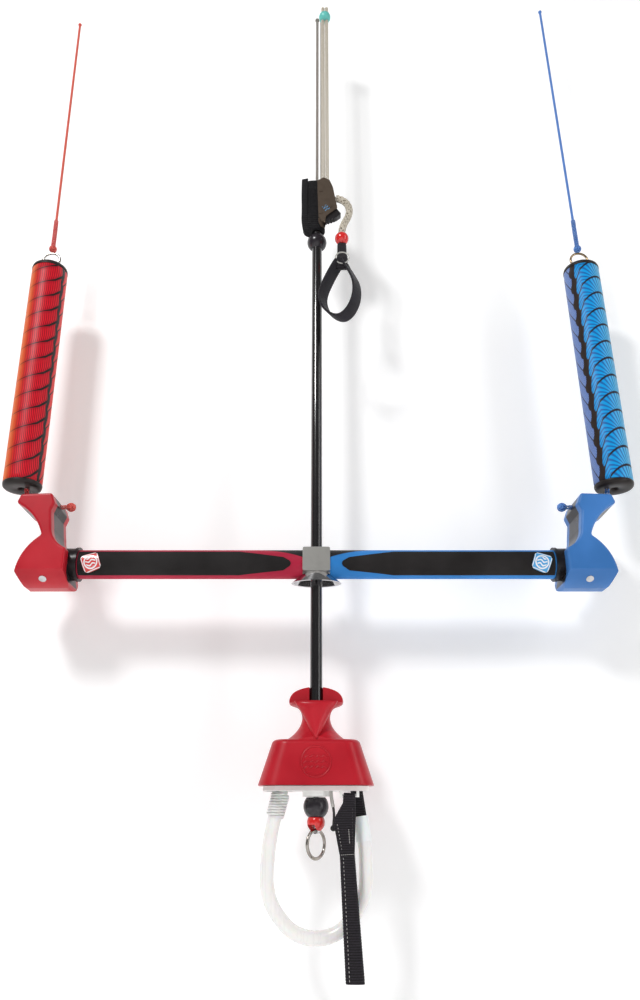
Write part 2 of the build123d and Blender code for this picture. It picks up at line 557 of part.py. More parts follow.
def build_float(side, sign, foot_out, top_out, line_out, line_top):
    """A float, its leader, its ring and its line; the outs are measured outward from the grip's end."""
    foot = Vector(sign * (GRIP_END + foot_out), 0, FLOAT_Z)
    axis = (Vector(sign * (GRIP_END + top_out), 0, FLOAT_Z + FLOAT_LEN) - foot).normalized()
    top = foot + axis * FLOAT_LEN
    bore = rod(foot - axis, top + axis, LEADER_BORE / 2)
    foam = rod(foot + axis * CAP_T, top - axis * CAP_T, FLOAT_D / 2) - bore
    low_cap = fillet(rod(foot, foot + axis * CAP_T, FLOAT_D / 2).edges().sort_by(Axis.Z)[0], 2.0) - bore
    high_cap = fillet(rod(top - axis * CAP_T, top, FLOAT_D / 2).edges().sort_by(Axis.Z)[-1], 2.0) - bore
    save(foam, f"float_{side}")
    save([low_cap, high_cap], f"float_caps_{side}")
    leader = [(sign * PIVOT[0], 0, PIVOT[1]), tuple(foot - axis * 6), tuple(top - axis * 0.5)]
    save(rope(f"leader_{side}", leader, LEADER_D), f"leader_{side}")
    ring_z = RING_D / 2 + GAP
    centre = top + axis * ring_z
    save(torus_at(tuple(centre), (RING_D - RING_WIRE) / 2, RING_WIRE), f"line_ring_{side}")
    start = top + axis * (ring_z + RING_D / 2 + GAP + LINE_KNOT_D / 2)
    end = Vector(sign * (GRIP_END + line_out), 0, line_top)
    way = (end - start).normalized()
    line = rope(f"flying_line_{side}", [tuple(start), tuple(end)], LINE_D)
    line += Pos(*tuple(start)) * Sphere(LINE_KNOT_D / 2)
    line += rod(start, start + way * LINE_SLEEVE_LEN, LINE_SLEEVE_D / 2)
    line += Pos(*tuple(end)) * Sphere(LINE_D * 0.8)
    save(line, f"flying_line_{side}")


build_tube()
build_neoprene()
build_front_lines()
build_trim_rope()
build_cleat()
build_release_core()
build_base_plate()
build_safety_line()
build_handle()
build_loop()
build_swivel()
build_stick()
build_trim_pull()
build_hub()
build_grips()
build_end()
build_float("left", -1, 60.0, 64.0, 72.0, TOP - 11)
build_float("right", 1, 63.0, 61.0, 57.0, TOP + 10)
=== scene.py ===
import math
import bmesh
import bpy
from mathutils import Matrix, Vector


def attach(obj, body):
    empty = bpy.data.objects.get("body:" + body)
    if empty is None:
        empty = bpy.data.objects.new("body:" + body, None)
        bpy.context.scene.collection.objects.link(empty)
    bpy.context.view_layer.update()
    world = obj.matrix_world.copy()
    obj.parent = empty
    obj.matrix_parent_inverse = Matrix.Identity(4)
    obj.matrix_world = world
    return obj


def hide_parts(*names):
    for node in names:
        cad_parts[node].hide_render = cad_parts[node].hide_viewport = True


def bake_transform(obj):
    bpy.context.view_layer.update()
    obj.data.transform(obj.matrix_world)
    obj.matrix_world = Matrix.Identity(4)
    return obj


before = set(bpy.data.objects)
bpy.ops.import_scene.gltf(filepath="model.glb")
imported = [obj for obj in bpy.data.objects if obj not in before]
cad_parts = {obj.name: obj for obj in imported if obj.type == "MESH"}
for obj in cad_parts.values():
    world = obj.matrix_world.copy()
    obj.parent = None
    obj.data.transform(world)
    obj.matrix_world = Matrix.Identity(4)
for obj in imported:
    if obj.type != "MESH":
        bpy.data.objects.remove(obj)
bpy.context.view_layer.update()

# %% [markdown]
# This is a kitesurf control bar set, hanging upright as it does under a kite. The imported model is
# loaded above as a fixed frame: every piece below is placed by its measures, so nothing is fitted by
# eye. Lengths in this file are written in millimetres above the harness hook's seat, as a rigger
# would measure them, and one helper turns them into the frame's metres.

MM = 0.001
TOP = 945.0                  # the front line's upper end, which is the frame's origin
BAR_Z = 280.0
GRIP_END = 204.0
HEAD_Z = 100.0


def place(x, y, level):
    """A point in metres, from millimetres, with its level measured from the hook's seat."""
    return Vector((x * MM, y * MM, (level - TOP) * MM))


# %% [markdown]
# The camera stands a little below the bar and looks up along the lines, so the head at the bottom
# looks large and the floats lean outwards. A short lens close to the object gives that spread; a
# long lens from far away would draw the two floats upright and parallel.

# %% Camera
camera_data = bpy.data.cameras.new("camera")
camera_data.lens = 28.8      # short, so that near things look large
camera = bpy.data.objects.new("camera", camera_data)
camera.location = (0.0031, -0.6634, -0.8663)
camera.rotation_euler = (math.radians(111.5), 0, 0)
bpy.context.collection.objects.link(camera)
bpy.context.scene.camera = camera
bpy.context.scene.view_settings.view_transform = "Standard"
print("camera at", tuple(camera.location))

# %% [markdown]
# A product table for thin lines is a white sweep close behind them, so that each one throws a soft
# shadow. The sweep is one profile, floor, cove and wall, extruded sideways. Its material is clear on
# back faces, so the set can also be looked at from behind it.

# %% White sweep
WALL_Y = 62.0
FLOOR_LEVEL = -95.0
COVE = 30.0


def link(obj):
    bpy.context.collection.objects.link(obj)
    return obj


def build_sweep():
    bm = bmesh.new()
    start = bm.verts.new(place(-1500, WALL_Y - COVE, FLOOR_LEVEL))
    middle = place(-1500, WALL_Y - COVE, FLOOR_LEVEL + COVE)
    bmesh.ops.spin(bm, geom=[start], cent=middle, axis=(1, 0, 0), angle=math.pi / 2, steps=8)
    ends = [v for v in bm.verts if len(v.link_edges) == 1]
    ends.sort(key=lambda v: v.co.z)
    for vert, target in ((ends[0], place(-1500, -1800, FLOOR_LEVEL)), (ends[-1], place(-1500, WALL_Y, 1700))):
        out = bmesh.ops.extrude_vert_indiv(bm, verts=[vert])["verts"][0]
        out.co = target
    made = bmesh.ops.extrude_edge_only(bm, edges=bm.edges[:])["geom"]
    moved = [v for v in made if isinstance(v, bmesh.types.BMVert)]
    bmesh.ops.translate(bm, verts=moved, vec=(3.0, 0, 0))
    bmesh.ops.recalc_face_normals(bm, faces=bm.faces[:])
    if max(bm.faces, key=lambda f: f.calc_center_median().z).normal.y > 0:
        bmesh.ops.reverse_faces(bm, faces=bm.faces[:])
    mesh = bpy.data.meshes.new("sweep")
    bm.to_mesh(mesh)
    bm.free()
    for face in mesh.polygons:
        face.use_smooth = True
    white = bpy.data.materials.new("white_paper")
    white.use_nodes = True
    shader = white.node_tree.nodes["Principled BSDF"]
    shader.inputs["Base Color"].default_value = (0.93, 0.93, 0.93, 1)
    shader.inputs["Roughness"].default_value = 0.9
    shader.inputs["Emission Color"].default_value = (1, 1, 1, 1)
    shader.inputs["Emission Strength"].default_value = 0.2
    tree = white.node_tree
    facing = tree.nodes.new("ShaderNodeNewGeometry")
    clear = tree.nodes.new("ShaderNodeBsdfTransparent")
    either = tree.nodes.new("ShaderNodeMixShader")
    tree.links.new(facing.outputs["Backfacing"], either.inputs["Fac"])
    tree.links.new(shader.outputs["BSDF"], either.inputs[1])
    tree.links.new(clear.outputs["BSDF"], either.inputs[2])
    tree.links.new(either.outputs["Shader"], tree.nodes["Material Output"].inputs["Surface"])
    mesh.materials.append(white)
    return link(bpy.data.objects.new("sweep", mesh))


sweep = build_sweep()
print("sweep faces:", len(sweep.data.polygons))

# %% [markdown]
# Soft studio light: a large lamp high on the left throws the shadows down to the right, a tall one
# on the right draws the white streak along the black tube, and a pale world fills the rest.

# %% Lights


def softbox(name, location, target, size, power):
    data = bpy.data.lights.new(name, "AREA")
    data.shape = "RECTANGLE"
    data.size, data.size_y = size
    data.energy = power
    lamp = link(bpy.data.objects.new(name, data))
    lamp.location = location
    lamp.rotation_euler = (Vector(target) - Vector(location)).to_track_quat("-Z", "Y").to_euler()
    return lamp


softbox("key", (-0.75, -1.25, 0.45), (0, 0, -0.55), (0.3, 0.3), 17)
softbox("strip", (1.1, -0.75, -0.45), (0, 0, -0.6), (0.2, 1.5), 5)
softbox("front", (0.1, -1.7, -1.0), (0, 0, -0.6), (1.2, 0.8), 2)
world = bpy.data.worlds.new("pale_room")
bpy.context.scene.world = world
world.use_nodes = True
world.node_tree.nodes["Background"].inputs["Color"].default_value = (1, 1, 1, 1)
world.node_tree.nodes["Background"].inputs["Strength"].default_value = 0.18

# %% [markdown]
# Materials are formulas over the surface. Writing them node by node is long and hard to read, so
# this class keeps a node's output as a number that can be added, multiplied or stepped, and each
# operation lays one Math node.

# %% Formulas laid as nodes


class Field:
    """A number that varies over a surface."""

    def __init__(self, mat, socket):
        self.mat = mat
        self.socket = socket

    def math(self, operation, *others):
        tree = self.mat.node_tree
        node = tree.nodes.new("ShaderNodeMath")
        node.operation = operation
        for pin, value in zip(node.inputs, (self,) + others):
            if isinstance(value, Field):
                tree.links.new(value.socket, pin)
            else:
                pin.default_value = value
        return Field(self.mat, node.outputs[0])

    def __add__(self, other):
        return self.math("ADD", other)

    def __sub__(self, other):
        return self.math("SUBTRACT", other)

    def __mul__(self, other):
        return self.math("MULTIPLY", other)

    def sin(self):
        return self.math("SINE")

    def fract(self):
        return self.math("FRACT")

    def floor(self):
        return self.math("FLOOR")

    def size(self):
        return self.math("ABSOLUTE")

    def highest(self, other):
        return self.math("MAXIMUM", other)

    def ramp(self, low, high):
        """0 below low and 1 above high, with a soft step between; high may be the smaller one."""
        tree = self.mat.node_tree
        node = tree.nodes.new("ShaderNodeMapRange")
        node.interpolation_type = "SMOOTHSTEP"
        tree.links.new(self.socket, node.inputs["Value"])
        node.inputs["From Min"].default_value = low
        node.inputs["From Max"].default_value = high
        return Field(self.mat, node.outputs["Result"])


def finish(name, colour, rough, metal=0.0, **shader_values):
    """A new material with its even values set on the shader itself."""
    mat = bpy.data.materials.new(name)
    mat.use_nodes = True
    shader = mat.node_tree.nodes["Principled BSDF"]
    values = {"Base Color": (*colour, 1), "Roughness": rough, "Metallic": metal}
    values.update({key.replace("_", " "): value for key, value in shader_values.items()})
    for key, value in values.items():
        shader.inputs[key].default_value = value
    return mat


def wire(mat, field, pin):
    socket = field.socket if isinstance(field, Field) else field
    mat.node_tree.links.new(socket, mat.node_tree.nodes["Principled BSDF"].inputs[pin])


def object_xyz(mat):
    """The piece's own coordinates, in millimetres, as three fields."""
    tree = mat.node_tree
    coords = tree.nodes.new("ShaderNodeTexCoord")
    split = tree.nodes.new("ShaderNodeSeparateXYZ")
    tree.links.new(coords.outputs["Object"], split.inputs[0])
    return [Field(mat, out) * 1000.0 for out in split.outputs]


def uv_along(mat):
    """The piece's UV map as two fields."""
    tree = mat.node_tree
    coords = tree.nodes.new("ShaderNodeTexCoord")
    split = tree.nodes.new("ShaderNodeSeparateXYZ")
    tree.links.new(coords.outputs["UV"], split.inputs[0])
    return Field(mat, split.outputs[0]), Field(mat, split.outputs[1])


def noise(mat, scale, detail=2.0, stretch=None):
    """Clouds of the given number per metre; stretch scales them unequally, as in brushed metal."""
    tree = mat.node_tree
    coords = tree.nodes.new("ShaderNodeTexCoord")
    node = tree.nodes.new("ShaderNodeTexNoise")
    node.inputs["Scale"].default_value = scale
    node.inputs["Detail"].default_value = detail
    source = coords.outputs["Object"]
    if stretch:
        mapping = tree.nodes.new("ShaderNodeMapping")
        mapping.inputs["Scale"].default_value = stretch
        tree.links.new(source, mapping.inputs["Vector"])
        source = mapping.outputs["Vector"]
    tree.links.new(source, node.inputs["Vector"])
    return Field(mat, node.outputs["Fac"])


def blend_colours(mat, field, low, high):
    """A colour that runs from low to high with the field; either may be a colour socket."""
    tree = mat.node_tree
    node = tree.nodes.new("ShaderNodeMix")
    node.data_type = "RGBA"
    tree.links.new(field.socket, node.inputs["Factor"])
    for pin, value in ((node.inputs[6], low), (node.inputs[7], high)):
        if isinstance(value, tuple):
            pin.default_value = (*value, 1)
        else:
            tree.links.new(value, pin)
    return node.outputs[2]


def emboss(mat, field, depth, strength=1.0):
    """Bump of the given depth in millimetres."""
    tree = mat.node_tree
    node = tree.nodes.new("ShaderNodeBump")
    node.inputs["Strength"].default_value = strength
    node.inputs["Distance"].default_value = depth * MM
    tree.links.new(field.socket, node.inputs["Height"])
    wire(mat, node.outputs["Normal"], "Normal")


print("formula helpers ready")

# %% [markdown]
# Moulded plastic is never one even colour. It has a fine skin grain from the mould, slightly duller
# patches where hands rub it, and a faint drift in tone. Three cloud textures of very different
# sizes give these; the grain moves the surface, the patches move the gloss.

# %% Moulded plastic


def moulded(name, colour, rough, grain=900.0, depth=0.02, wear=0.1, **shader_values):
    mat = finish(name, colour, rough, **shader_values)
    drift = noise(mat, 18.0, 3.0)
    deep = tuple(c * 0.86 for c in colour)
    light = tuple(min(1.0, c * 1.08 + 0.01) for c in colour)
    wire(mat, blend_colours(mat, drift.ramp(0.3, 0.7), deep, light), "Base Color")
    rub = noise(mat, 70.0, 4.0) * wear
    wire(mat, rub + (rough - wear / 2), "Roughness")
    emboss(mat, noise(mat, grain, 2.0), depth)
    return mat


RED = (0.5, 0.004, 0.016)
BLUE = (0.045, 0.19, 0.52)
red_plastic = moulded("red_plastic", RED, 0.34, wear=0.12, Specular_IOR_Level=0.35)
blue_plastic = moulded("blue_plastic", BLUE, 0.36, wear=0.12, Specular_IOR_Level=0.35)
black_plastic = moulded("black_plastic", (0.01, 0.008, 0.009), 0.3, wear=0.15, depth=0.015,
                        Specular_IOR_Level=0.25)
black_ball = moulded("black_ball", (0.016, 0.012, 0.017), 0.26, grain=1500, depth=0.01, wear=0.1)
white_plastic = moulded("white_plastic", (0.94, 0.93, 0.9), 0.38, wear=0.12, depth=0.01)
red_bead = moulded("red_bead", (0.66, 0.012, 0.01), 0.14, grain=400, depth=0.006, wear=0.06, Coat_Weight=0.5)
print("plastics ready")

# %% [markdown]
# The long tube is pressed from black polyurethane: a deep gloss with long faint draw marks, so the
# cloud texture is stretched forty times along the tube. The loop at the foot is a milky tube of the
# same family, which light enters a little way, so it has some subsurface glow.

# %% Tubes


def drawn_tube(name, colour, rough, fade=0.8, **shader_values):
    mat = finish(name, colour, rough, **shader_values)
    marks = noise(mat, 420.0, 3.0, stretch=(1.0, 1.0, 0.025))
    wire(mat, marks * 0.14 + (rough - 0.07), "Roughness")
    drift = noise(mat, 30.0, 2.0).ramp(0.35, 0.65)
    wire(mat, blend_colours(mat, drift, colour, tuple(c * fade + 0.004 for c in colour)), "Base Color")
    emboss(mat, marks, 0.02)
    return mat


black_pu = drawn_tube("black_pu", (0.008, 0.007, 0.008), 0.17, Coat_Weight=0.6, Coat_Roughness=0.08)
milky_tube = drawn_tube("milky_tube", (0.97, 0.96, 0.93), 0.28, fade=0.95, Subsurface_Weight=0.25,
                        Subsurface_Scale=0.004, Coat_Weight=0.3, Coat_Roughness=0.15)
milky_sleeve = moulded("milky_sleeve", (0.95, 0.94, 0.92), 0.36, wear=0.1, depth=0.012,
                       Subsurface_Weight=0.2, Subsurface_Scale=0.003)
print("tubes ready")

# %% [markdown]
# Metal parts differ in how they were finished: the leash ring and the hub's mouth are polished, with
# hair scratches; the hub block is bead blasted and anodised; the cleat is stamped and dulled by salt.

# %% Metals


def worked_metal(name, colour, rough, scratch=0.12, grain=700.0, depth=0.006, stretch=(1.0, 1.0, 14.0),
                 tarnish=0.72):
    mat = finish(name, colour, rough, metal=1.0)
    lines = noise(mat, grain, 4.0, stretch=stretch)
    wire(mat, lines * scratch + (rough - scratch / 2), "Roughness")
    salt = noise(mat, 120.0, 5.0).ramp(0.45, 0.75)
    wire(mat, blend_colours(mat, salt, colour, tuple(c * tarnish for c in colour)), "Base Color")
    emboss(mat, lines, depth)
    return mat


chrome = worked_metal("chrome", (0.6, 0.59, 0.6), 0.12, scratch=0.1, depth=0.003)
ring_steel = worked_metal("ring_steel", (0.4, 0.37, 0.34), 0.14, scratch=0.12)
bronze_ring = worked_metal("bronze_ring", (0.42, 0.31, 0.19), 0.2, scratch=0.14)
hub_metal = worked_metal("hub_metal", (0.55, 0.54, 0.51), 0.38, scratch=0.08, grain=2200, depth=0.004,
                         stretch=(1.0, 1.0, 1.0), tarnish=0.93)
CLEAT_BROWN = (0.17, 0.13, 0.1)
cleat_metal = worked_metal("cleat_metal", CLEAT_BROWN, 0.4, scratch=0.1, depth=0.006, tarnish=0.85)
print("metals ready")

# %% [markdown]
# Woven and braided goods read their own UV map, so the weave follows every bend. On a cord, U runs
# along it and V goes round it. Two families of diagonal yarns cross, and a chequer picks which one
# lies on top in each cell; the same field raises the yarns and colours them, with painted shade in
# the low places between yarns.

# %% Braid and webbing


def braided(name, light, dark, around, along, depth=0.25, fleck=None):
    """A braid of the given number of yarns around, and crossings along the whole length."""
    mat = finish(name, light, 0.62, Sheen_Weight=0.25, Sheen_Roughness=0.4)
    u, v = uv_along(mat)
    rise = u * along + v * around
    fall = u * along - v * around
    which = ((rise.floor() + fall.floor()) * 0.5).fract() * 2.0
    over = (rise * math.pi).sin().size()
    under = (fall * math.pi).sin().size()
    height = over * which + under * (which * -1.0 + 1.0)
    fuzz = noise(mat, 2500.0, 2.0)
    # Painted shade: the low places between yarns take the dark tone; the fuzz adds random tone.
    tone = blend_colours(mat, (height + (fuzz - 0.5) * 0.5).ramp(0.15, 0.75), dark, light)
    if fleck:
        spot = (rise * 0.5).fract().ramp(0.72, 0.8) * which
        tone = blend_colours(mat, spot, tone, fleck)
    wire(mat, tone, "Base Color")
    emboss(mat, height + fuzz * 0.3, depth)
    return mat


def webbing(name, light, dark, across, along, stripe=None):
    """Flat webbing: U runs along and V across, with cross ribs and a fine lengthwise rib; the low places
    between them take the dark tone as painted shade.
    """
    mat = finish(name, light, 0.72, Sheen_Weight=0.12, Sheen_Roughness=0.35, Specular_IOR_Level=0.25)
    u, v = uv_along(mat)
    row = u * along
    shift = (row.floor() * 0.5).fract()
    rib = (row * math.pi).sin().size()
    yarn = ((v * across + shift) * math.pi).sin().size()
    height = rib * 0.65 + yarn * 0.45
    fuzz = noise(mat, 1800.0, 3.0)
    # Painted shade: the low places between ribs and yarns take the dark tone.
    tone = blend_colours(mat, (height + (fuzz - 0.5) * 0.6).ramp(0.25, 1.0), dark, light)
    if stripe:
        edge = (v - 0.5).size().ramp(0.4, 0.44) * -1.0 + 1.0
        tone = blend_colours(mat, edge, stripe, tone)
    wire(mat, tone, "Base Color")
    emboss(mat, height + fuzz * 0.25, 0.3)
    return mat


print("braid and webbing ready")

# %% [markdown]
# A cord here is a curve with a round bevel along the same route points as its solid. The curve is a
# NURBS spline of order 3, which rounds the corners as a real rope does. Thicker ropes show their
# single strands, so those are modelled: each strand winds round points read from the same spline.

# %% Cord helpers


def route_curve(name, points):
    curve = bpy.data.curves.new(name, "CURVE")
    curve.dimensions = "3D"
    curve.resolution_u = 10
    spline = curve.splines.new("NURBS")
    spline.points.add(len(points) - 1)
    for point, where in zip(spline.points, points):
        point.co = (*where, 1)
    spline.order_u = 3
    spline.use_endpoint_u = True
    return curve


def cord_piece(name, points, diameter, mat, body):
    curve = route_curve(name, points)
    curve.bevel_depth = diameter / 2
    curve.bevel_resolution = 4
    curve.use_fill_caps = True
    curve.materials.append(mat)
    obj = link(bpy.data.objects.new(name, curve))
    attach(obj, body)
    print("cord", name, "of", len(points), "points")
    return obj


def route_points(points, step):
    """Points along the route's spline, about step metres apart."""
    curve = route_curve("route", points)
    ghost = bpy.data.objects.new("route", curve)
    mesh = bpy.data.meshes.new_from_object(ghost)
    sampled = [v.co.copy() for v in mesh.vertices]
    bpy.data.objects.remove(ghost)
    bpy.data.curves.remove(curve)
    bpy.data.meshes.remove(mesh)
    even = [sampled[0]]
    for a, b in zip(sampled, sampled[1:]):
        parts = max(1, round((b - a).length / step))
        even += [a.lerp(b, i / parts) for i in range(1, parts + 1)]
    return even


def stranded(name, points, diameter, strands, pitch, mat, body, plaits=True):
    """A rope of round strands wound both ways round its route, as one mesh."""
    path = route_points(points, pitch / 10)
    thick = diameter * (0.24 if plaits else 0.3)
    bm = bmesh.new()
    for number in range(strands):
        turn = 1 if number % 2 or not plaits else -1
        phase = 2 * math.pi * number / strands
        line = []
        travelled = 0.0
        side = Vector((0, 1, 0))
        for i, where in enumerate(path):
            ahead = path[min(i + 1, len(path) - 1)] - path[max(i - 1, 0)]
            ahead.normalize()
            side = (side - ahead * side.dot(ahead)).normalized()
            other = ahead.cross(side)
            angle = phase + turn * 2 * math.pi * travelled / pitch
            weave = 0.06 * math.sin(strands * math.pi * travelled / pitch + number * math.pi) if plaits else 0
            radius = (diameter - thick) / 2 * (1 + weave)
            line.append(where + (side * math.cos(angle) + other * math.sin(angle)) * radius)
            if i + 1 < len(path):
                travelled += (path[i + 1] - where).length
        curve = bpy.data.curves.new("strand", "CURVE")
        curve.dimensions = "3D"
        spline = curve.splines.new("POLY")
        spline.points.add(len(line) - 1)
        for point, where in zip(spline.points, line):
            point.co = (*where, 1)
        curve.bevel_depth = thick / 2
        curve.bevel_resolution = 1
        curve.use_fill_caps = True
        ghost = bpy.data.objects.new("strand", curve)
        mesh = bpy.data.meshes.new_from_object(ghost)
        bm.from_mesh(mesh)
        bpy.data.objects.remove(ghost)
        bpy.data.curves.remove(curve)
        bpy.data.meshes.remove(mesh)
    obj = mesh_piece(name, bm, mat, body)
    print("rope", name, "with", strands, "strands,", len(obj.data.polygons), "faces")
    return obj, path


def mesh_piece(name, bm, mat, body, smooth=True):
    """Turns a bmesh into a piece that rides on a body."""
    mesh = bpy.data.meshes.new(name)
    bm.to_mesh(mesh)
    bm.free()
    for face in mesh.polygons:
        face.use_smooth = smooth
    mesh.materials.append(mat)
    obj = link(bpy.data.objects.new(name, mesh))
    if body:
        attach(obj, body)
    return obj


def knot_ball(name, centre, radius, mat, body):
    """A stopper knot: three bands of three turns each, laid round a ball."""
    bm = bmesh.new()
    bmesh.ops.create_uvsphere(bm, u_segments=16, v_segments=10, radius=radius * 0.8)
    strand = radius * 0.2
    for band in range(3):
        for turn in (-1, 0, 1):
            offset = turn * strand * 1.75
            reach = math.sqrt(radius ** 2 - offset ** 2) - strand * (1.0 + 0.25 * band)
            ring = bmesh.ops.create_circle(bm, segments=8, radius=strand)["verts"]
            bmesh.ops.rotate(bm, verts=ring, cent=(0, 0, 0), matrix=Matrix.Rotation(math.pi / 2, 3, "X"))
            bmesh.ops.translate(bm, verts=ring, vec=(reach, 0, offset))
            edges = list({e for v in ring for e in v.link_edges})
            bmesh.ops.spin(bm, geom=edges, cent=(0, 0, 0), axis=(0, 0, 1), angle=2 * math.pi, steps=24,
                           use_merge=True)
            whole = {v for e in edges for v in e.verts if v.is_valid}
            stack = list(whole)
            while stack:
                for edge in stack.pop().link_edges:
                    for vert in edge.verts:
                        if vert not in whole:
                            whole.add(vert)
                            stack.append(vert)
            if band:
                axis = "X" if band == 1 else "Y"
                bmesh.ops.rotate(bm, verts=list(whole), cent=(0, 0, 0),
                                 matrix=Matrix.Rotation(math.pi / 2, 3, axis))
    bmesh.ops.remove_doubles(bm, verts=bm.verts[:], dist=1e-6)
    bmesh.ops.recalc_face_normals(bm, faces=bm.faces[:])
    bmesh.ops.translate(bm, verts=bm.verts[:], vec=centre)
    print("knot", name)
    return mesh_piece(name, bm, mat, body)


def yarn_lump(name, light, dark):
    """Yarn on a knot, which has no UV map: fine clouds stand for the crossing threads, and their low places
    are darkened as painted shade.
    """
    mat = finish(name, light, 0.6, Sheen_Weight=0.25, Sheen_Roughness=0.4)
    threads = noise(mat, 1500.0, 2.0, stretch=(1.0, 1.0, 0.4))
    # Painted shade: the clouds' low places between threads take the dark tone.
    wire(mat, blend_colours(mat, threads.ramp(0.36, 0.56), dark, light), "Base Color")
    emboss(mat, threads, 0.25)
    return mat


print("cord helpers ready")

# %% [markdown]
# The two front lines run from the neoprene sleeve up to the kite's leading edge. They are thin
# hollow braids in grey, one a little thinner than the other. The kite holds them taut, so they are
# straight, and each ends in the knot that joins it to the next line.

# %% Front lines
GREY_LINE = (0.33, 0.3, 0.27)
LINE_START = 697.0
# The deep grey is painted shade for the grooves between the line's yarns, not a yarn colour.
GREY_YARN_SHADE = (0.1, 0.085, 0.07)
line_braid = braided("line_braid", GREY_LINE, GREY_YARN_SHADE, 3, 120, depth=0.2)
line_lump = yarn_lump("line_lump", GREY_LINE, GREY_YARN_SHADE)


def front_line(name, x, diameter):
    points = [place(x, 0, LINE_START), place(x, 0, TOP - 5)]
    line = cord_piece(name + "_braid", points, diameter * MM, line_braid, "spine")
    knot = knot_ball(name + "_knot", place(x, 0, TOP - 4), diameter * 0.8 * MM, line_lump, "spine")
    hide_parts(name)


front_line("front_line", 0.0, 3.0)
front_line("safety_front_line", 4.4, 2.0)

# %% [markdown]
# The trim rope is one cream rope doubled through the kite's pigtail, so two strands climb side by
# side from the cleat to the turquoise bead. At this size the plait shows, so it is modelled strand
# by strand, eight to a rope.

# %% Trim rope
CREAM = (0.72, 0.66, 0.55)
ROPE_D = 4.0
ROPE_Y = -13.2
# The deep cream is painted shade for the grooves between the rope's yarns, not a yarn colour.
CREAM_YARN_SHADE = (0.34, 0.29, 0.22)
cream_yarn = braided("cream_yarn", CREAM, CREAM_YARN_SHADE, 2, 160, depth=0.08)
cream_lump = yarn_lump("cream_lump", CREAM, CREAM_YARN_SHADE)
for side, label in ((-1, "left"), (1, "right")):
    rope_x = 8.5 + side * (ROPE_D / 2 + 0.1)
    points = [place(rope_x, ROPE_Y, 679), place(rope_x, ROPE_Y, 943)]
    rope, path = stranded("trim_rope_" + label, points, ROPE_D * MM, 8, 0.017, cream_yarn, "spine")
    knot = knot_ball("trim_rope_knot_" + label, points[1], 0.0019, cream_lump, "spine")
    if side < 0:
        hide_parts("trim_rope")

# %% [markdown]
# A float is a log of EVA foam, skinned with a printed rubber film. It could be a plain cylinder, but
# a real one is turned with softly rounded ends, so a ring of points is extruded up in steps and each
# step is drawn in or let out. Its UV map counts distance: U goes round from the front, V goes up.

# %% Float body
FLOAT_D = 34.0
FLOAT_LEN = 240.0
FLOAT_Z = BAR_Z + 70.0
LEADER_Z = BAR_Z + 53.0      # the leader's hole through the bar end
CAP = 5.0                    # thickness of an end cap
HOLE = 6.0
RING_D = 19.2                # height of the steel ring above a float


def float_axis(sign, foot_out, top_out):
    foot = place(sign * (GRIP_END + foot_out), 0, FLOAT_Z)
    top = place(sign * (GRIP_END + top_out), 0, FLOAT_Z + FLOAT_LEN)
    return foot, (top - foot).normalized()


def turned(bm, profile, steps=64):
    """Spins a profile of (radius, height) pairs, in millimetres, about the upright axis."""
    first = bm.verts.new((profile[0][0] * MM, 0, profile[0][1] * MM))
    last = first
    for radius, height in profile[1:]:
        vert = bmesh.ops.extrude_vert_indiv(bm, verts=[last])["verts"][0]
        vert.co = (radius * MM, 0, height * MM)
        last = vert
    edges = [e for e in bm.edges if not e.link_faces]
    bmesh.ops.spin(bm, geom=edges, cent=(0, 0, 0), axis=(0, 0, 1), angle=2 * math.pi, steps=steps,
                   use_merge=True)
    bmesh.ops.remove_doubles(bm, verts=bm.verts[:], dist=1e-6)
    bmesh.ops.recalc_face_normals(bm, faces=bm.faces[:])


def wrap_uv(bm):
    """U is the distance round from the front and V the height, both in hundreds of millimetres."""
    layer = bm.loops.layers.uv.new("UVMap")
    for face in bm.faces:
        middle = face.calc_center_median()
        around = math.atan2(middle.x, -middle.y)
        for loop in face.loops:
            co = loop.vert.co
            angle = math.atan2(co.x, -co.y)
            if angle - around > math.pi:
                angle -= 2 * math.pi
            elif around - angle > math.pi:
                angle += 2 * math.pi
            loop[layer].uv = (angle * FLOAT_D / 200, co.z / MM / 100)


def stand_on(bm, foot, axis):
    """Tips an upright piece onto its own axis and moves it there."""
    tip = Vector((0, 0, 1)).rotation_difference(axis).to_matrix()
    bmesh.ops.rotate(bm, verts=bm.verts[:], cent=(0, 0, 0), matrix=tip)
    bmesh.ops.translate(bm, verts=bm.verts[:], vec=foot)


def foam_log(name, foot, axis, mat, body):
    radius = FLOAT_D / 2
    low, high = CAP, FLOAT_LEN - CAP
    profile = [(HOLE / 2, low), (radius - 0.6, low), (radius - 0.1, low + 0.6)]
    profile += [(radius, low + 4 + 8 * i) for i in range(28)]
    profile += [(radius - 0.1, high - 0.6), (radius - 0.6, high), (HOLE / 2, high), (HOLE / 2, low)]
    bm = bmesh.new()
    turned(bm, profile, 72)
    wrap_uv(bm)
    stand_on(bm, foot, axis)
    obj = mesh_piece(name, bm, mat, body)
    return obj


print("float helpers ready")

# %% [markdown]
# The left float's print is a column of red shells, each outlined in black and hatched with fine dark
# lines, that lean up into a wavy black band; past the band is a second, narrow column. The pattern
# is a formula: the height, minus a curve of the distance round, gives the shell's number and how far
# up the shell a point lies. The column's left side is painted orange as a highlight where the key lamp falls.

# %% Red print


def printed(name, rough=0.45):
    mat = finish(name, (0.5, 0.01, 0.02), rough, Specular_IOR_Level=0.3)
    u, v = uv_along(mat)
    skin = noise(mat, 1400.0, 2.0)
    soft = noise(mat, 60.0, 3.0)
    wire(mat, soft * 0.14 + (rough - 0.07), "Roughness")
    emboss(mat, skin + soft * 0.8, 0.05)
    return mat, u * 100.0, v * 100.0


RED_BAND = 19.0              # how far round from the front the black band lies


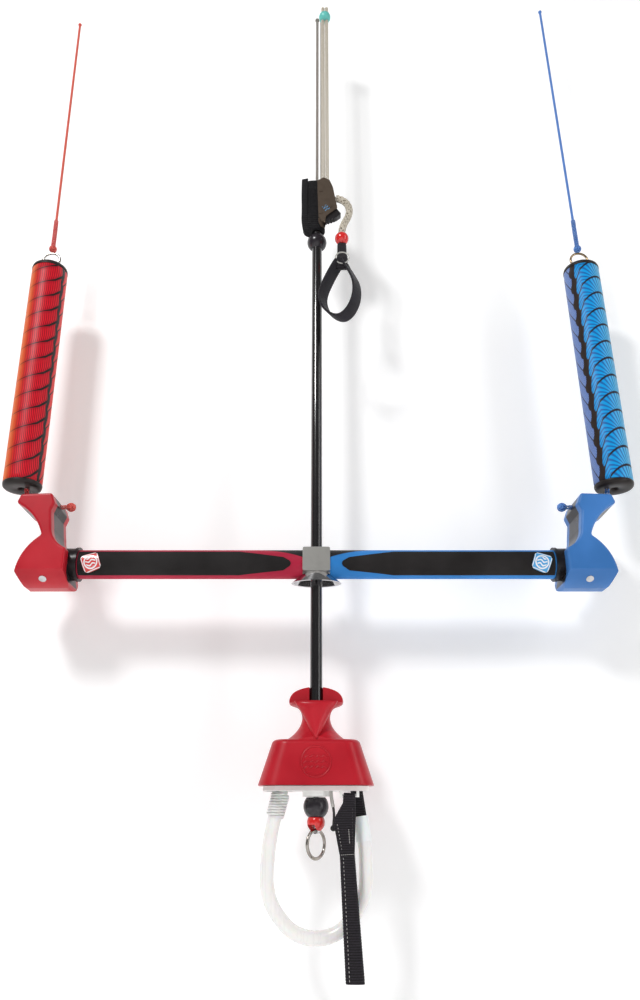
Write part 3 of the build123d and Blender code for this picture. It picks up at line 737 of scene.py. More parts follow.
def red_print():
    mat, s, t = printed("red_print")
    pitch = 17.4
    black = (0.01, 0.006, 0.007)
    beat = (t * (1 / pitch)).fract()
    band = s - RED_BAND - (beat * -1.0 + 0.5).size() * 2.4
    run = (s + 12.0).highest(0.0)
    shell = (t - run * 0.12 - run * run * 0.0085 - (band + 7.0).highest(0.0) * 0.5) * (1 / pitch)
    across = shell.fract()
    edge = (across - 0.5).size() * -1.0 + 0.5
    width = (band + 16.0).ramp(0.0, 16.0) * 0.07 + 0.03
    outline = (edge - width).ramp(0.02, -0.02) * ((s + 8.0).ramp(-8.0, 8.0) * 0.6 + 0.4)
    hatch_way = s + across * 6.0 - across * across * 2.4
    hatch = (hatch_way * (2 * math.pi / 1.75)).sin().ramp(-0.1, 0.8)
    centre = (across * math.pi).sin()
    red = blend_colours(mat, centre.ramp(0.0, 0.8), (0.42, 0.0, 0.014), (0.7, 0.006, 0.02))
    hatched = blend_colours(mat, hatch * centre.ramp(0.05, 0.4) * 0.75, red, (0.12, 0.0, 0.006))
    # Painted highlight: an orange band on the float's left side, where the key lamp falls.
    glow = (s + 8.0).ramp(5.0, -8.0) * (s + 34.0).ramp(-8.0, 6.0)
    orange = blend_colours(mat, glow, hatched, (0.8, 0.15, 0.012))
    left = blend_colours(mat, outline, orange, black)
    pods = (t - s * 1.25 + 4.0) * (1 / pitch)
    second = ((pods.fract() - 0.5).size() * 2.0).ramp(0.94, 0.82)
    pod = second * (band - 2.0 - pods.fract() * 1.6).ramp(0.0, 0.8)
    right = blend_colours(mat, pod, black, (0.7, 0.02, 0.022))
    right = blend_colours(mat, (s - 27.0).ramp(0.0, 7.0) * pod, right, (0.8, 0.14, 0.02))
    stripe = blend_colours(mat, (band + 0.6).ramp(-0.35, 0.35), left, black)
    whole = blend_colours(mat, (band - 2.0).ramp(-0.35, 0.35), stripe, right)
    wire(mat, whole, "Base Color")
    return mat


red_skin = red_print()
print("red print nodes:", len(red_skin.node_tree.nodes))

# %% [markdown]
# The right float's print is the other way round: fans of cyan, each a round arc drawn from the lower
# left, with rays that spread from one point, to the right of a wavy brown band; to its left a narrow
# column of pale slanted pods. The fans lighten towards the right.

# %% Blue print
BLUE_BAND = -12.5            # how far round from the front the brown band lies


def blue_print():
    mat, s, t = printed("blue_print")
    pitch = 18.3
    brown = (0.02, 0.01, 0.007)
    ink = (0.01, 0.008, 0.02)
    right_of = s - 13.0
    arc = right_of * right_of * 0.026 + ((s - BLUE_BAND - 5.0) * -1.0).highest(0.0) * 1.3
    across = ((t + arc) * (1 / pitch)).fract()
    band = s - BLUE_BAND + (across * math.pi).sin() * 2.2
    edge = (across - 0.5).size() * -1.0 + 0.5
    outline = (edge - 0.06).ramp(0.025, -0.02)
    rise = across * pitch - right_of * right_of * 0.004 + 11.0
    ray = right_of.math("ARCTAN2", rise)
    hatch = (ray * 52.0).sin().ramp(-0.3, 0.8)
    light = (s + 2.0).ramp(0.0, 16.0)
    base = blend_colours(mat, light, (0.0, 0.33, 0.76), (0.12, 0.55, 0.84))
    rays = blend_colours(mat, hatch * 0.85, base, (0.01, 0.1, 0.36))
    right = blend_colours(mat, outline, rays, ink)
    pod_row = ((t + s * 1.7 + 6.0) * (1 / pitch)).fract()
    reach = (pod_row * math.pi).sin() * 2.6
    pod = ((pod_row - 0.5).size() * 2.0).ramp(0.97, 0.84) * (band + 5.4 - reach).ramp(0.0, -0.7)
    stripes = ((t - s * 1.1) * (2 * math.pi / 2.0)).sin().ramp(-0.2, 0.6)
    pale = blend_colours(mat, stripes, (0.2, 0.31, 0.62), (0.04, 0.09, 0.3))
    left = blend_colours(mat, pod, brown, pale)
    stripe = blend_colours(mat, (band - 1.6).ramp(0.3, -0.3), right, brown)
    whole = blend_colours(mat, (band + 1.6).ramp(0.3, -0.3), stripe, left)
    wire(mat, whole, "Base Color")
    return mat


blue_skin = blue_print()
print("blue print nodes:", len(blue_skin.node_tree.nodes))

# %% [markdown]
# Each end of a float is closed by a rubber cap, domed at its rim and sunk round the hole where the
# leader passes. It is turned from one profile. The leader itself is a plaited rope that crosses from
# the bar to the float; its route bends near the float's foot, and it is attached to neither body.

# %% Caps and leaders
rubber = moulded("cap_rubber", (0.016, 0.011, 0.01), 0.42, grain=1100, depth=0.03, wear=0.15,
                 Specular_IOR_Level=0.25)
# The dark tones of these ropes are painted shade between their yarns.
red_rope = braided("red_rope", (0.78, 0.06, 0.06), (0.3, 0.0, 0.01), 2, 60, depth=0.08,
                   fleck=(0.9, 0.62, 0.5))
blue_rope = braided("blue_rope", (0.06, 0.22, 0.62), (0.01, 0.03, 0.2), 2, 60, depth=0.08,
                    fleck=(0.5, 0.62, 0.85))


def cap_pieces(side, foot, axis, body):
    radius = FLOAT_D / 2
    bm = bmesh.new()
    rim = [(HOLE / 2, 1.4), (HOLE / 2 + 1.6, 0.25), (radius - 4, 0), (radius - 1.6, 0.5), (radius - 0.5, 1.5),
           (radius, 3.0), (radius + 0.15, 4.4), (radius - 0.1, CAP), (HOLE / 2, CAP), (HOLE / 2, 1.4)]
    turned(bm, rim)
    upper = bmesh.new()
    turned(upper, rim)
    bmesh.ops.rotate(upper, verts=upper.verts[:], cent=(0, 0, 0), matrix=Matrix.Rotation(math.pi, 3, "X"))
    bmesh.ops.translate(upper, verts=upper.verts[:], vec=(0, 0, FLOAT_LEN * MM))
    mesh = bpy.data.meshes.new("upper")
    upper.to_mesh(mesh)
    upper.free()
    bm.from_mesh(mesh)
    stand_on(bm, foot, axis)
    return mesh_piece("float_end_caps_" + side, bm, rubber, body)


def leader(side, sign, foot, axis, mat):
    pivot = place(sign * (GRIP_END + 52), 0, LEADER_Z)
    top = foot + axis * FLOAT_LEN * MM
    points = [pivot, foot - axis * 0.006, top - axis * 0.0005]
    rope, path = stranded("leader_rope_" + side, points, 4.4 * MM, 8, 0.018, mat, None)
    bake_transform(rope)
    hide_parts("leader_" + side)
    return rope


print("caps and leaders ready")

# %% [markdown]
# Above the float the leader ends in a steel ring, and a webbing tab is sewn through the ring. The
# flying line is knotted to the ring and its lowest part is doubled inside a thicker braided sleeve.

# %% Flying lines


def band_piece(name, points, shift, thick, mat, body):
    """A flat strap: the points of its edge line, extruded by the shift and given a thickness."""
    bm = bmesh.new()
    line = [bm.verts.new(p) for p in points]
    for a, b in zip(line, line[1:]):
        bm.edges.new((a, b))
    layer = bm.loops.layers.uv.new("UVMap")
    made = bmesh.ops.extrude_edge_only(bm, edges=bm.edges[:])["geom"]
    shift = Vector(shift) * MM
    bmesh.ops.translate(bm, verts=[v for v in made if isinstance(v, bmesh.types.BMVert)], vec=shift)
    travelled = {}
    total = 0.0
    for i, p in enumerate(points):
        if i:
            total += (Vector(p) - Vector(points[i - 1])).length
        travelled[i] = total
    for face in bm.faces:
        for loop in face.loops:
            here = loop.vert.co
            near = min(range(len(points)), key=lambda i: min((here - Vector(points[i])).length,
                                                             (here - Vector(points[i]) - shift).length))
            far = (here - Vector(points[near])).length > shift.length / 2
            loop[layer].uv = (travelled[near] / total, 1.0 if far else 0.0)
    bmesh.ops.translate(bm, verts=bm.verts[:], vec=-shift / 2)
    obj = mesh_piece(name, bm, mat, body)
    solid = obj.modifiers.new("thickness", "SOLIDIFY")
    solid.thickness = thick
    solid.offset = 0.0
    edge = obj.modifiers.new("soft_edge", "BEVEL")
    edge.width = thick * 0.3
    edge.segments = 2
    edge.limit_method = "ANGLE"
    return obj


def flying_line(side, sign, foot, axis, line_out, level, mat, rope_mat, lump, ring_mat, tab_mat):
    body = side + "_float"
    top = foot + axis * FLOAT_LEN * MM
    start = top + axis * (RING_D + 5.0) * MM
    end = place(sign * (GRIP_END + line_out), 0, level)
    way = (end - start).normalized()
    line = cord_piece("flying_braid_" + side, [start, end], 2.6 * MM, mat, body)
    sleeve, path = stranded("line_sleeve_" + side, [start, start + way * 0.036], 4.6 * MM, 10, 0.014,
                            rope_mat, body)
    low = knot_ball("line_knot_" + side, start, 3.9 * MM, lump, body)
    high = knot_ball("line_end_" + side, end, 2.0 * MM, lump, body)
    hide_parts("flying_line_" + side)
    centre = top + axis * (RING_D / 2 + 0.5) * MM
    tab = [centre + axis * z * MM + Vector((0, y * MM, 0))
           for z, y in ((-10.2, 1.6), (-6.6, 1.7), (-5.4, 0.0), (-6.6, -1.7), (-10.2, -1.6))]
    band_piece("ring_tab_" + side, tab, (7, 0, 0), 0.9 * MM, tab_mat, body)
    dress(ring_mat, "line_ring_" + side)


def dress(mat, *nodes):
    """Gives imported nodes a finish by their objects' material slots."""
    for name in nodes:
        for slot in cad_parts[name].material_slots:
            slot.material = mat


# The dark tones of these lines are painted shade between their yarns.
red_line = braided("red_line", (0.8, 0.13, 0.08), (0.42, 0.02, 0.01), 3, 110, depth=0.2)
blue_line = braided("blue_line", (0.1, 0.28, 0.72), (0.02, 0.06, 0.32), 3, 110, depth=0.2)
# The dark tones of both tabs are painted shade between their ribs.
tab_blue = webbing("tab_blue", (0.22, 0.32, 0.6), (0.1, 0.15, 0.34), 5, 12)
# The dark tones of these knots are painted shade between their threads.
red_lump = yarn_lump("red_lump", (0.8, 0.12, 0.09), (0.34, 0.01, 0.012))
blue_lump = yarn_lump("blue_lump", (0.12, 0.32, 0.74), (0.02, 0.06, 0.3))
tab_red = webbing("tab_red", (0.6, 0.05, 0.05), (0.28, 0.01, 0.01), 5, 12)

# How far the float's foot, its top and the line's end stand out past the grip, then the line's level.
for side, sign, outs, level in (("left", -1, (60.0, 64.0, 72.0), TOP - 11),
                                ("right", 1, (63.0, 61.0, 57.0), TOP + 10)):
    left = side == "left"
    foot, axis = float_axis(sign, outs[0], outs[1])
    foam = foam_log("float_foam_" + side, foot, axis, red_skin if left else blue_skin, side + "_float")
    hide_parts("float_" + side)
    caps = cap_pieces(side, foot, axis, side + "_float")
    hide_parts("float_caps_" + side)
    leader(side, sign, foot, axis, red_rope if left else blue_rope)
    flying_line(side, sign, foot, axis, outs[2], level, red_line if left else blue_line,
                red_rope if left else blue_rope, red_lump if left else blue_lump,
                ring_steel if left else bronze_ring, tab_red if left else tab_blue)
    print("float", side, "built")

# %% [markdown]
# Straps, sleeves and the like have a flat oval section that changes along their length. One helper
# makes them all: a ring of points is extruded from station to station, and each new ring is scaled
# and moved to its station. Webbing gets a material that reads the level, so its ribs lie level.

# %% Sleeves and straps


def lofted(name, stations, mat, body, sides=28, square=0.6):
    """Stations are (x, y, level, half width, half depth); square below 1 fills the oval's corners."""
    bm = bmesh.new()
    bmesh.ops.create_circle(bm, segments=sides, radius=1.0, cap_ends=False)
    for vert in bm.verts:
        x, y = vert.co.x, vert.co.y
        vert.co.x = math.copysign(abs(x) ** square, x)
        vert.co.y = math.copysign(abs(y) ** square, y)
    edges = bm.edges[:]
    here = (0.0, 0.0, 0.0, 1.0, 1.0)
    for number, (x, y, level, wide, deep) in enumerate(stations):
        if number:
            made = bmesh.ops.extrude_edge_only(bm, edges=edges)["geom"]
            edges = [e for e in made if isinstance(e, bmesh.types.BMEdge)]
        ring = list({v for e in edges for v in e.verts})
        centre = place(x, y, level)
        old = Vector(here[:3])
        for vert in ring:
            vert.co.x = centre.x + (vert.co.x - old.x) / here[3] * wide * MM
            vert.co.y = centre.y + (vert.co.y - old.y) / here[4] * deep * MM
            vert.co.z = centre.z
        if number == 0:
            first = edges
        here = (*centre, wide * MM, deep * MM)
    bmesh.ops.edgenet_fill(bm, edges=first)
    bmesh.ops.edgenet_fill(bm, edges=edges)
    bmesh.ops.recalc_face_normals(bm, faces=bm.faces[:])
    return mesh_piece(name, bm, mat, body)


def level_webbing(name, light, dark, rib, yarn, depth=0.3):
    """Webbing that hangs upright: ribs and yarns of the given millimetres, with painted shade in the low
    places between them.
    """
    mat = finish(name, light, 0.75, Sheen_Weight=0.12, Sheen_Roughness=0.4, Specular_IOR_Level=0.25)
    x, y, z = object_xyz(mat)
    row = z * (1 / rib)
    shift = (row.floor() * 0.5).fract()
    ribs = (row * math.pi).sin().size()
    yarns = (((x + y * 0.6) * (1 / yarn) + shift) * math.pi).sin().size()
    height = ribs * 0.7 + yarns * 0.4
    fuzz = noise(mat, 1900.0, 3.0)
    # Painted shade: the low places between ribs and yarns take the dark tone.
    wire(mat, blend_colours(mat, (height + (fuzz - 0.5) * 0.6).ramp(0.3, 1.05), dark, light), "Base Color")
    emboss(mat, height + fuzz * 0.3, depth)
    return mat


def ribbed(stations, pitch, depth):
    """Splits straight runs between stations into ribs, each swelling by depth."""
    out = []
    for a, b in zip(stations, stations[1:]):
        steps = max(1, round(abs(b[2] - a[2]) / pitch * 4))
        for i in range(steps):
            t = i / steps
            mid = [p + (q - p) * t for p, q in zip(a, b)]
            swell = depth * abs(math.sin(math.pi * mid[2] / pitch))
            out.append((mid[0], mid[1], mid[2], mid[3] + swell, mid[4] + swell))
    return out + [stations[-1]]


def stitches(name, points, count, length, thick, mat, body):
    """A row of small thread loops along a line of points."""
    bm = bmesh.new()
    for a, b in zip(points, points[1:]):
        a, b = Vector(a), Vector(b)
        turn = Vector((0, 0, 1)).rotation_difference((b - a).normalized()).to_matrix().to_4x4()
        for i in range(count):
            spot = Matrix.Translation(a.lerp(b, (i + 0.5) / count))
            shape = Matrix.Diagonal((thick / 2, thick / 2, length / 2, 1.0))
            bmesh.ops.create_icosphere(bm, subdivisions=1, radius=1.0, matrix=spot @ turn @ shape)
    bmesh.ops.remove_doubles(bm, verts=bm.verts[:], dist=1e-7)
    return mesh_piece(name, bm, mat, body)


# The darker black of this webbing is painted shade between its ribs.
black_web = level_webbing("black_web", (0.026, 0.022, 0.028), (0.004, 0.003, 0.004), 1.7, 1.1)
thread = moulded("pale_thread", (0.5, 0.48, 0.46), 0.6, grain=3000, depth=0.02)
dark_thread = moulded("dark_thread", (0.06, 0.055, 0.06), 0.6, grain=3000, depth=0.02)
print("strap helpers ready")

# %% [markdown]
# The safety stick is a flat tube of heavy webbing slipped over a stiff core, sewn to a wider flap
# that folds round the pin. The tube shows level ribs and a pale seam along its left side; the flap
# has its own edge seams.

# %% Safety stick
STICK = "safety_stick"
flap = [(25.4, -14, 94.6, 4.0, 1.3), (25.4, -14, 92.5, 4.6, 2.5), (25.2, -14, 87.4, 4.7, 1.8),
        (22.2, -14, 77, 8.0, 1.6), (21.6, -14, 73, 8.2, 1.7), (22.4, -14, 62, 6.9, 1.8),
        (23.2, -14, 52, 5.7, 2.4), (23.4, -14, 50.5, 5.4, 2.6)]
flap_piece = lofted("stick_flap", ribbed(flap, 1.7, 0.12), black_web, STICK)
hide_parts("stick_webbing")
sock = [(23.3, -14, 53, 5.1, 2.1), (23.3, -14, 52, 5.5, 2.6), (25.6, -14, 10, 6.1, 3.0),
        (27.9, -14, -30, 6.7, 3.5), (28.0, -14, -32, 6.6, 3.4), (28.0, -14, -32.1, 5.2, 2.2),
        (28.0, -14, -30.5, 5.0, 1.9)]
sock_piece = lofted("stick_sock", ribbed(sock, 1.9, 0.22), black_web, STICK)
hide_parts("stick_sleeve", "stick_core")
stitches("stick_side_seam", [place(20.3, -16.9, 50), place(23.9, -17.6, -31)], 30, 0.0017, 0.0005, thread,
         STICK)
stitches("stick_hem", [place(18.4, -16.8, 51.2), place(28.2, -16.8, 51.8)], 7, 0.0011, 0.0005, thread,
         STICK)
stitches("flap_seam_left", [place(16.0, -15.8, 73), place(19.4, -16.1, 54)], 8, 0.0014, 0.0004, thread,
         STICK)
stitches("flap_seam_right", [place(27.6, -15.8, 84), place(27.2, -16.1, 56)], 12, 0.0014, 0.0004, dark_thread,
         STICK)
stitches("flap_bar_tack", [place(24.6, -15.9, 69), place(25.2, -16.1, 59)], 9, 0.0009, 0.0007, thread,
         STICK)
print("safety stick sewn")

# %% [markdown]
# The right end of the loop hangs from a short black strap, which goes up into the head. It is sewn
# round the loop's end under the milky sleeve, with two rows of stitches.

# %% Loop strap
strap_line = [(34.3, 0, 77.5, 4.5, 1.8), (34.1, 0, 79, 4.75, 2.05), (31.4, 0, 97.5, 4.75, 2.05),
              (31.2, 0, 98.8, 4.5, 1.8)]
loop_strap = lofted("loop_strap", ribbed(strap_line, 1.7, 0.1), black_web, "chicken_loop")
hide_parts("loop_webbing")
for offset in (-3.4, 3.4):
    stitches("loop_strap_seam_" + ("a" if offset < 0 else "b"),
             [place(34.0 + offset, -2.15, 79.5), place(31.5 + offset, -2.15, 96.5)], 9, 0.0014, 0.0005,
             dark_thread, "chicken_loop")
print("loop strap sewn")

# %% [markdown]
# The neoprene sleeve wraps the top of the tube and closes along one side, where a flap overlaps and
# stands out. Neoprene is soft, so its rims are rounded and its sides bulge a little. Its foot is
# gathered by elastic, which shows as level ribs; the rest is smooth jersey.

# %% Neoprene sleeve
neoprene = finish("neoprene", (0.012, 0.012, 0.014), 0.8, Sheen_Weight=0.08, Sheen_Roughness=0.5,
                  Specular_IOR_Level=0.2)
fine = noise(neoprene, 900.0, 4.0)
x, y, z = object_xyz(neoprene)
elastic = (z + (TOP - 652.0)).ramp(1.0, -1.0)
jersey = ((z * 2.6).sin() * 0.5 + 0.5) * elastic + fine
wire(neoprene, blend_colours(neoprene, fine.ramp(0.3, 0.8), (0.004, 0.004, 0.005), (0.014, 0.013, 0.015)),
     "Base Color")
emboss(neoprene, jersey, 0.3)


def sleeve_ring(level, wide, deep):
    return (-3.0, 0.0, level, wide, deep)


rings = [sleeve_ring(634.4, 7.5, 6.0), sleeve_ring(634.0, 9.6, 6.9), sleeve_ring(634.8, 10.7, 7.3)]
for i in range(30):
    level = 636.0 + 2.0 * i
    swell = 0.22 * math.sin(level * 0.9) + 0.3 * math.sin(level * 0.13)
    rings.append(sleeve_ring(level, 10.8 + swell, 7.3 + swell * 0.6))
rings += [sleeve_ring(696.4, 10.6, 7.2), sleeve_ring(697.0, 9.6, 6.8), sleeve_ring(696.6, 7.0, 5.8)]
wrap = lofted("neoprene_wrap", rings, neoprene, "spine", sides=40, square=0.8)
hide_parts("neoprene_sleeve")
edge_points = route_points([place(-12.6, -6.4, 699), place(-13.0, -6.9, 680), place(-12.4, -6.8, 660),
                            place(-12.9, -6.4, 642), place(-10.6, -6.0, 631)], 0.002)
band_piece("neoprene_flap", edge_points, (6.5, -1.6, 0), 1.4 * MM, neoprene, "spine")
stitches("neoprene_seam", [place(-8.3, -8.2, 694), place(-8.3, -8.2, 640)], 24, 0.0016, 0.0005, dark_thread,
         "spine")
print("neoprene sleeve wrapped")

# %% [markdown]
# The trim pull: the doubled rope bulges out of the cleat and goes down into a red bead. Under the
# bead a webbing neck is knotted inside a clear ring, and opens into a pull loop, one flat strap
# that turns back on itself. The strap hangs a little turned, so that its face shows.

# %% Trim pull
PULL_X, PULL_Y, PULL_LOW = 24.6, -22.0, 576.0
tail = [place(20.0, ROPE_Y, 667), place(29.0, ROPE_Y - 3, 662), place(34.4, PULL_Y + 3, 644),
        place(PULL_X, PULL_Y, 623), place(PULL_X, PULL_Y, 614)]
tail_rope, path = stranded("trim_tail_rope", tail, 7.4 * MM, 9, 0.021, cream_yarn, "trim_pull")
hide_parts("trim_tail")
# The darker tone of this webbing is painted shade between its ribs.
strap_web = webbing("strap_web", (0.03, 0.027, 0.034), (0.005, 0.004, 0.006), 9, 90)
outline = [(-2.6, 5), (-5.6, 0), (-13, -16), (-19.4, -33), (-18.4, -45), (-12.6, -55.4), (-2, -60.8),
           (7, -53.6), (13.6, -38), (14.2, -20), (8.0, -6), (3.0, 3), (2.4, 6)]
loop_points = route_points([place(PULL_X + dx, PULL_Y, PULL_LOW + dz) for dx, dz in outline], 0.0015)
pull = band_piece("pull_loop", loop_points, (8, 12.5, 0), 2.0 * MM, strap_web, "trim_pull")
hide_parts("trim_strap")
neck = [(PULL_X, PULL_Y, PULL_LOW + up, wide, deep) for up, wide, deep in
        ((27.4, 3.6, 1.6), (25, 4.4, 2.2), (14, 4.5, 2.2), (11, 5.0, 3.4), (7, 5.6, 4.4), (3, 5.4, 4.0),
         (-1, 6.2, 3.0), (-3, 6.0, 2.2))]
lofted("pull_neck", ribbed(neck, 1.7, 0.12), black_web, "trim_pull")
stitches("pull_neck_seam", [place(PULL_X - 2.6, PULL_Y - 2.3, PULL_LOW + z) for z in (24, 15)], 5,
         0.0014, 0.0005, dark_thread, "trim_pull")
print("trim pull sewn")

# %% [markdown]
# The leader's inner end is a stopper knot in front of the bar end's notch. A short safety cord
# curls out beside the black ball: it is thin black cord, whipped with pale thread where it doubles.

# %% Knots and the safety cord
for side, sign, mat, lump, slot in (("left", -1, red_rope, red_lump, "red_line"),
                                    ("right", 1, blue_rope, blue_lump, "blue_line")):
    inner = place(sign * (GRIP_END + 13.8), 0, LEADER_Z)
    outer = place(sign * (GRIP_END + 44.5), 0, LEADER_Z)
    knot = knot_ball("stopper_knot_" + side, inner, 4.3 * MM, lump, "bar")
    stranded("stopper_stub_" + side, [inner, outer], 4.2 * MM, 8, 0.017, mat, "bar")
    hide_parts("leader_knot_" + side)
# The darker black of this cord is painted shade between its yarns.
black_cord = braided("black_cord", (0.035, 0.028, 0.03), (0.008, 0.006, 0.007), 2, 14, depth=0.15)
curl = [place(11.5, -8.4, HEAD_Z - 4.4), place(11.8, -9, HEAD_Z - 10), place(13.2, -9.6, HEAD_Z - 15.5),
        place(14.0, -9.4, HEAD_Z - 22), place(13.2, -9, HEAD_Z - 29)]
curl_piece = cord_piece("safety_cord", curl, 2.0 * MM, black_cord, "spine")
stranded("safety_cord_whipping", curl[:3], 2.9 * MM, 9, 0.003, thread, "spine", plaits=False)
knot_ball("safety_cord_knot", place(13.2, -9, HEAD_Z - 30.5), 2.4 * MM, black_cord, "spine")
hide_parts("safety_line")
print("knots tied")

# %% [markdown]
# The head's front runs from the finger ledge down in a V-shaped tongue, and the broad face below
# carries a raised round badge. Both are moulded with the head; here they are pieces of their own in
# the same plastic. The badge's motif is plain: a ring with three waves.

# %% Head details
HANDLE = "release_handle"
tongue = [(0, -12.4, 163.2, 17.4, 5.0), (0, -12.6, 160.5, 15.8, 5.4), (0, -12.4, 157, 13.2, 5.6),
          (0, -12.2, 152, 10.2, 5.8), (0, -12.8, 146, 7.2, 5.6), (0, -14.2, 140, 4.2, 4.6),
          (0, -15.8, 136, 1.9, 3.0), (0, -16.6, 134.2, 0.6, 1.6)]
lofted("head_tongue", tongue, red_plastic, HANDLE, sides=32, square=1.0)
BADGE_LEVEL = 117.0
SLOPE = math.atan(5 / 34)
badge_centre = place(0, -23 + 5 / 34 * (BADGE_LEVEL - 100), BADGE_LEVEL)


def raised_line(name, points, thick, mat, body, cyclic=False):
    """A round bead of plastic along a line drawn on the badge's plane."""
    curve = bpy.data.curves.new(name, "CURVE")
    curve.dimensions = "3D"
    spline = curve.splines.new("NURBS")
    spline.points.add(len(points) - 1)
    for point, (x, z) in zip(spline.points, points):
        point.co = (x * MM, 0, z * MM, 1)
    spline.order_u = 3
    spline.use_endpoint_u = not cyclic
    spline.use_cyclic_u = cyclic
    curve.bevel_depth = thick * MM / 2
    curve.bevel_resolution = 3
    curve.use_fill_caps = True
    curve.resolution_u = 8
    ghost = bpy.data.objects.new(name, curve)
    mesh = bpy.data.meshes.new_from_object(ghost)
    bpy.data.objects.remove(ghost)
    mesh.transform(Matrix.Translation(badge_centre) @ Matrix.Rotation(-SLOPE, 4, "X"))
    bm = bmesh.new()
    bm.from_mesh(mesh)
    bpy.data.meshes.remove(mesh)
    return mesh_piece(name, bm, mat, body)


ring = [(11.6 * math.cos(i * math.pi / 8), 11.6 * math.sin(i * math.pi / 8)) for i in range(16)]
raised_line("head_badge_ring", ring, 1.5, red_plastic, HANDLE, cyclic=True)
for number, height in enumerate((4.0, 0.0, -4.0)):
    half = math.sqrt(9.4 ** 2 - height ** 2)
    wave = [(half * t / 4, height + (1.3 if t % 2 else -1.3)) for t in range(-4, 5)]
    raised_line(f"head_badge_wave_{number}", wave, 1.1, red_plastic, HANDLE)
print("head details added")

# %% [markdown]
# The grips are coloured foam with a black top that narrows away from the hub, and the bar badges
# carry the same plain wave motif, printed in white.

# %% Grips and badges


def grip_skin(name, colour):
    mat = moulded(name, colour, 0.55, grain=1300, depth=0.08, wear=0.12, Specular_IOR_Level=0.3)
    shader = mat.node_tree.nodes["Principled BSDF"]
    under = shader.inputs["Base Color"].links[0].from_socket
    x, y, z = object_xyz(mat)
    level = z + (TOP - BAR_Z)
    reach = (x.size() * -1.0 + 62.0).highest(0.0)
    border = reach * reach * -0.0036 + 12.2
    above = (level - border).ramp(-0.25, 0.25)
    wire(mat, blend_colours(mat, above, under, (0.012, 0.01, 0.011)), "Base Color")
    return mat


BADGE_TURN = math.radians(20)


def badge_print():
    mat = moulded("badge_print", (0.6, 0.6, 0.6), 0.3, grain=600, depth=0.004, wear=0.06, Coat_Weight=0.3)
    x, y, z = object_xyz(mat)
    side = x.ramp(-1.0, 1.0)
    across = x.size() - (GRIP_END - 12.5)
    level = z + (TOP - BAR_Z + 1.5)
    a = across * math.cos(BADGE_TURN) - level * math.sin(BADGE_TURN)
    b = across * math.sin(BADGE_TURN) + level * math.cos(BADGE_TURN)
    radius = (a * a + b * b).math("SQRT")
    ring = (radius - 5.4).size().ramp(0.7, 0.45)
    waves = ((b + (a * 1.1).sin() * 0.7) * 2.1).sin().ramp(0.1, 0.4) * (radius - 4.4).ramp(0.2, -0.2)
    frame_line = ((a.size().highest(b.size())) - 6.9).size().ramp(0.45, 0.25)
    white = ring.highest(waves).highest(frame_line)
    ground = blend_colours(mat, side, (0.66, 0.04, 0.04), (0.06, 0.36, 0.72))
    wire(mat, blend_colours(mat, white, ground, (0.85, 0.85, 0.86)), "Base Color")
    return mat


MARK_TURN = 0.6


def cleat_print():
    """The cleat's stamped metal with a small pale blue mark of waves."""
    mat = worked_metal("cleat_print", CLEAT_BROWN, 0.4, scratch=0.1, depth=0.006, tarnish=0.85)
    shader = mat.node_tree.nodes["Principled BSDF"]
    under = shader.inputs["Base Color"].links[0].from_socket
    x, y, z = object_xyz(mat)
    side, up = x - 9.6, z + (TOP - 651.0)
    a = side * math.cos(MARK_TURN) + up * math.sin(MARK_TURN)
    b = up * math.cos(MARK_TURN) - side * math.sin(MARK_TURN)
    inside = (a.size() - 3.4).ramp(0.2, -0.2) * (b.size() - 3.2).ramp(0.2, -0.2)
    mark = ((b + (a * 1.5).sin() * 0.5) * 2.2).sin().ramp(0.35, 0.6) * inside
    wire(mat, blend_colours(mat, mark, under, (0.2, 0.5, 0.85)), "Base Color")
    return mat


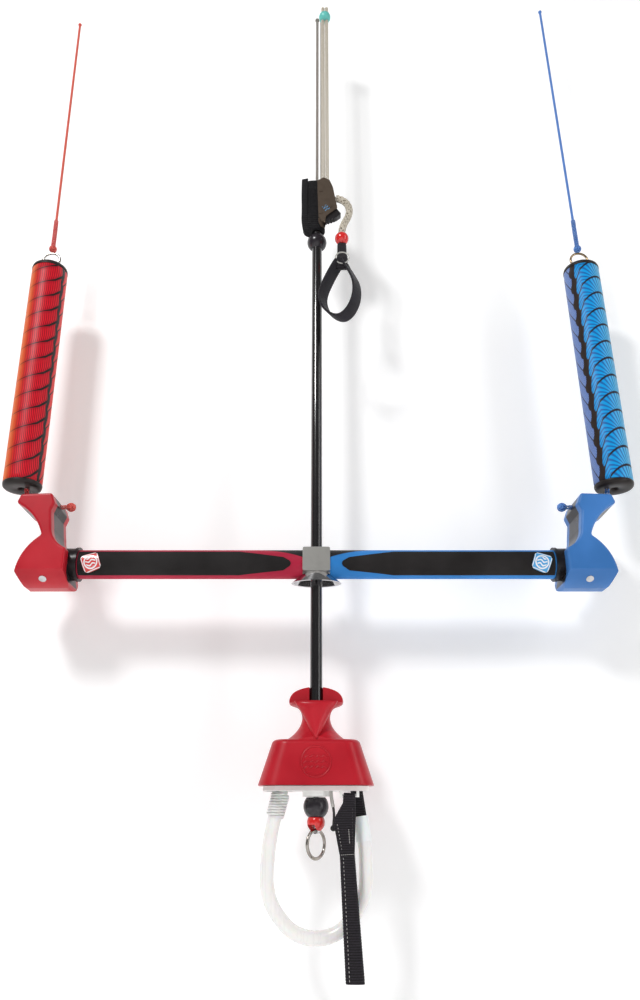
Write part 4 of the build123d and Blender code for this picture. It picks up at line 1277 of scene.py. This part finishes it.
def ribbed_sleeve():
    """The milky sleeve on the loop's left end, with moulded level ribs whose grooves are painted darker as
    shade.
    """
    mat = finish("ribbed_sleeve", (0.95, 0.94, 0.92), 0.36, Subsurface_Weight=0.2, Subsurface_Scale=0.003)
    x, y, z = object_xyz(mat)
    groove_with_shade = ((z * math.pi).sin() * -1.0).ramp(0.2, 0.9)
    # Painted shade: the grooves between ribs are coloured darker grey.
    wire(mat, blend_colours(mat, groove_with_shade, (0.95, 0.94, 0.92), (0.6, 0.59, 0.57)), "Base Color")
    wire(mat, noise(mat, 70.0, 4.0) * 0.1 + 0.31, "Roughness")
    emboss(mat, groove_with_shade * -1.0, 0.4)
    return mat


cleat_side = cleat_print()
milky_ribs = ribbed_sleeve()
red_grip = grip_skin("red_grip", (0.45, 0.005, 0.04))
blue_grip = grip_skin("blue_grip", (0.02, 0.22, 0.62))
badges = badge_print()
print("grip skins ready")

# %% [markdown]
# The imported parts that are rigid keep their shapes, and get their finishes here by name. Parts that
# stay hidden inside others are dressed too, so that nothing is left in its plain packing colour.

# %% Finishes of the rigid parts
grip_black = moulded("grip_black", (0.011, 0.009, 0.009), 0.72, grain=1500, depth=0.12, wear=0.1,
                     Specular_IOR_Level=0.2)
dress(badges, "grip_badges")
dress(black_pu, "depower_tube")
dress(line_braid, "core_line")
dress(black_ball, "stopper_ball", "swivel_ball")
dress(black_plastic, "release_core", "centre_bush", "end_core_left", "end_core_right", "cleat_jaw",
      "stick_core")
dress(red_plastic, "handle_shell", "cheek_front_left", "cheek_rear_left")
dress(blue_plastic, "cheek_front_right", "cheek_rear_right")
dress(white_plastic, "base_plate")
dress(milky_tube, "loop_tube")
dress(milky_sleeve, "loop_end_sleeve")
dress(milky_ribs, "loop_rib_sleeve")
dress(red_bead, "stop_bead", "trim_bead")
dress(ring_steel, "leash_ring")
dress(chrome, "hub_mouth", "end_screws", "release_pins", "swivel_stem", "stick_pin", "return_spring")
dress(hub_metal, "hub_block", "bar_spars")
dress(cleat_metal, "cleat_pins")
dress(cleat_side, "cleat_cheeks")
dress(red_grip, "grip_left")
dress(blue_grip, "grip_right")
dress(grip_black, "grip_pads")
turquoise = moulded("turquoise", (0.12, 0.52, 0.47), 0.3, grain=500, depth=0.01, wear=0.1)
dress(turquoise, "trim_top_bead")
clear_ring = moulded("clear_ring", (0.75, 0.74, 0.7), 0.18, grain=300, depth=0.005, wear=0.06,
                     Transmission_Weight=0.4)
dress(clear_ring, "trim_keeper_ring")
print("rigid parts dressed")

# %% [markdown]
# Last, a line is printed to mark the end.

# %% The finish
print("scene built")
